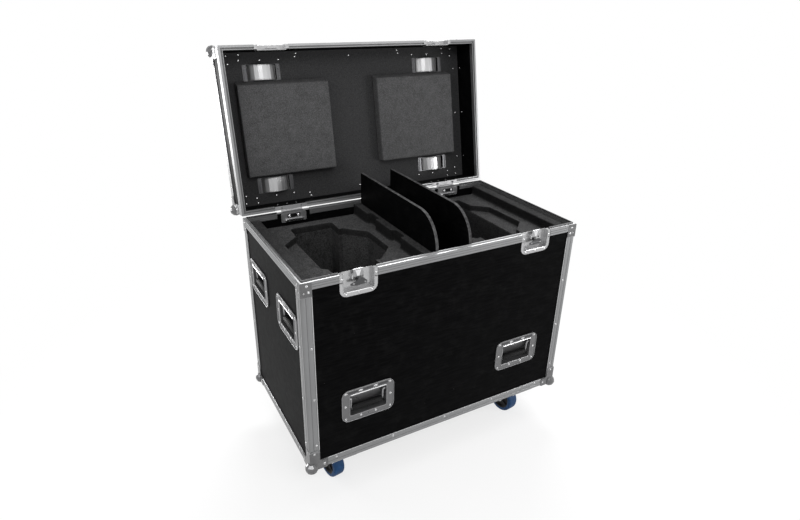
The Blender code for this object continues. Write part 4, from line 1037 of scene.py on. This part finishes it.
def soften(name, node, body, material, voxel, rounds, wobble):
    """A piece of foam in the place of a plain solid: edges rounded over, faces slightly uneven."""
    form = bmesh.new()
    form.from_mesh(nodes[node].data)
    bmesh.ops.remove_doubles(form, verts=form.verts, dist=FOAM_WELD)
    bmesh.ops.recalc_face_normals(form, faces=form.faces)
    welded = bpy.data.meshes.new(name)
    form.to_mesh(welded)
    form.free()
    made = add_object(name, welded)
    step = made.modifiers.new("Remesh", "REMESH")
    step.mode = "VOXEL"
    step.voxel_size = voxel
    step = made.modifiers.new("Smooth", "SMOOTH")
    step.factor = 0.5
    step.iterations = rounds
    bpy.context.view_layer.update()
    graph = bpy.context.evaluated_depsgraph_get()
    mesh = bpy.data.meshes.new_from_object(made.evaluated_get(graph))
    made.modifiers.clear()
    made.data = mesh
    form = bmesh.new()
    form.from_mesh(mesh)
    for vertex in form.verts:
        vertex.co -= vertex.normal * wobble * (0.6 + noise.noise(vertex.co * GRAIN))
    form.to_mesh(mesh)
    form.free()
    settle(made, material, body, 60.0, (node,))


voxel = 0.003
for word, _ in SIDES:
    block, pad = f"foam_block_{word}", f"foam_pad_{word}"
    soften(block, f"foam_insert_{word}", "base", FOAM, voxel, rounds=2, wobble=0.0004)
    soften(pad, f"lid_pad_{word}", "lid", PAD, voxel, rounds=3, wobble=0.0005)


# Stage, in metres

FLOOR = 9.0  # half its size
AMBIENT = 0.40


def seen_rays(tree):
    """1 for the rays that look at the background, straight or in a reflection."""
    path = tree.nodes.new("ShaderNodeLightPath")
    value = path.outputs["Is Camera Ray"]
    for name in ("Is Glossy Ray", "Is Transmission Ray"):
        either = tree.nodes.new("ShaderNodeMath")
        either.operation = "MAXIMUM"
        tree.links.new(value, either.inputs[0])
        tree.links.new(path.outputs[name], either.inputs[1])
        value = either.outputs[0]
    return value


def make_floor():
    """A white floor that shows the soft shadow near the case and fades to plain white round it."""
    mesh = bpy.data.meshes.new("floor")
    corners = [(-FLOOR, -FLOOR, 0), (FLOOR, -FLOOR, 0), (FLOOR, FLOOR, 0), (-FLOOR, FLOOR, 0)]
    mesh.from_pydata(corners, [], [(0, 1, 2, 3)])
    floor = add_object("floor", mesh)
    m = Nodes("floor_paint", (0.93, 0.93, 0.93), 0.9, specular=0.1)
    away = m.node("ShaderNodeVectorMath")
    away.operation = "LENGTH"
    m.link(m.coordinate, away.inputs[0])
    fade = m.node("ShaderNodeMapRange")
    fade.interpolation_type = "SMOOTHSTEP"
    set_range(fade, 0.45, 1.5, 0.72, 1.0)
    m.link(away.outputs["Value"], fade.inputs["Value"])
    share = m.maths("MULTIPLY", fade.outputs["Result"], seen_rays(m.tree))
    white = m.node("ShaderNodeEmission")
    mixed = m.node("ShaderNodeMixShader")
    m.link(share, mixed.inputs["Fac"])
    m.link(m.shader.outputs[0], mixed.inputs[1])
    m.link(white.outputs[0], mixed.inputs[2])
    m.link(mixed.outputs[0], m.tree.nodes["Material Output"].inputs["Surface"])
    mesh.materials.append(m.made)


def make_world():
    """Soft light from all round, and plain white where the background itself is seen."""
    world = bpy.data.worlds.new("studio")
    bpy.context.scene.world = world
    world.use_nodes = True
    tree = world.node_tree
    tree.nodes.clear()
    mixed = tree.nodes.new("ShaderNodeMixShader")
    tree.links.new(seen_rays(tree), mixed.inputs["Fac"])
    for socket, strength in ((1, AMBIENT), (2, 1.0)):
        light = tree.nodes.new("ShaderNodeBackground")
        light.inputs["Color"].default_value = (1, 1, 1, 1)
        light.inputs["Strength"].default_value = strength
        tree.links.new(light.outputs[0], mixed.inputs[socket])
    out = tree.nodes.new("ShaderNodeOutputWorld")
    tree.links.new(mixed.outputs[0], out.inputs["Surface"])


def lamp(name, at, aim, size, power):
    data = bpy.data.lights.new(name, "AREA")
    data.shape = "RECTANGLE"
    data.size, data.size_y = size
    data.energy = power
    made = add_object(name, data)
    made.location = at
    made.rotation_euler = (Vector(aim) - Vector(at)).to_track_quat("-Z", "Y").to_euler()


# The camera, as fitted: angles in degrees, lengths in case widths, focal length in pixels
AZIMUTH, ELEVATION, ROLL = -29.597, 25.02, 1.254
AIM, ACROSS, LIFT, FAR = (0.5, 0.25, 0.3), 0.040, -0.206, 2.122
FOCAL, IMAGE_WIDTH, SENSOR = 579.94, 800.0, 36.0


def make_camera():
    """Fitted to the picture's edges: turned 29.6 degrees to the left, looking 25 degrees down."""
    unit = WIDTH * MM
    azimuth, elevation, roll = (math.radians(angle) for angle in (AZIMUTH, ELEVATION, ROLL))
    level = math.cos(elevation)
    back = Vector((math.sin(azimuth) * level, -math.cos(azimuth) * level, math.sin(elevation)))
    right = (-back).cross(Vector(UP)).normalized()
    upward = right.cross(-back)
    r = math.cos(roll) * right + math.sin(roll) * upward
    u = -math.sin(roll) * right + math.cos(roll) * upward
    centre = Vector(AIM) * unit + Vector((-HW, -HD + SHIFT, BASE_Z)) * MM
    eye = centre + back * FAR * unit - r * ACROSS * unit - u * LIFT * unit
    data = bpy.data.cameras.new("camera")
    data.sensor_width = SENSOR
    data.lens = FOCAL * SENSOR / IMAGE_WIDTH
    data.clip_start = 0.01
    made = add_object("camera", data)
    rows = [(r[i], u[i], back[i], eye[i]) for i in range(3)]
    made.matrix_world = Matrix((*rows, (0, 0, 0, 1)))
    bpy.context.scene.camera = made


make_floor()
make_world()
# Each lamp's name, place, what it looks at, size in metres, and watts
lamp("key", (-3.0, -1.2, 2.6), (0, 0, 0.5), (1.6, 1.6), 34)
lamp("top", (0.2, -0.4, 3.5), (0, -0.1, 0.6), (2.2, 2.2), 24)
lamp("lid", (-0.5, -3.0, 2.9), (0, 0.2, 0.9), (1.6, 1.2), 38)
lamp("back", (1.5, 2.2, 3.7), (0, -0.2, 0.7), (2.6, 1.2), 130)
lamp("low", (2.3, -2.5, 0.75), (0.3, -0.2, 0.7), (1.4, 0.8), 38)
lamp("side", (-2.0, 3.2, 0.5), (-0.2, 0, 0.5), (1.6, 0.8), 60)
make_camera()
bpy.context.scene.view_settings.view_transform = "Standard"
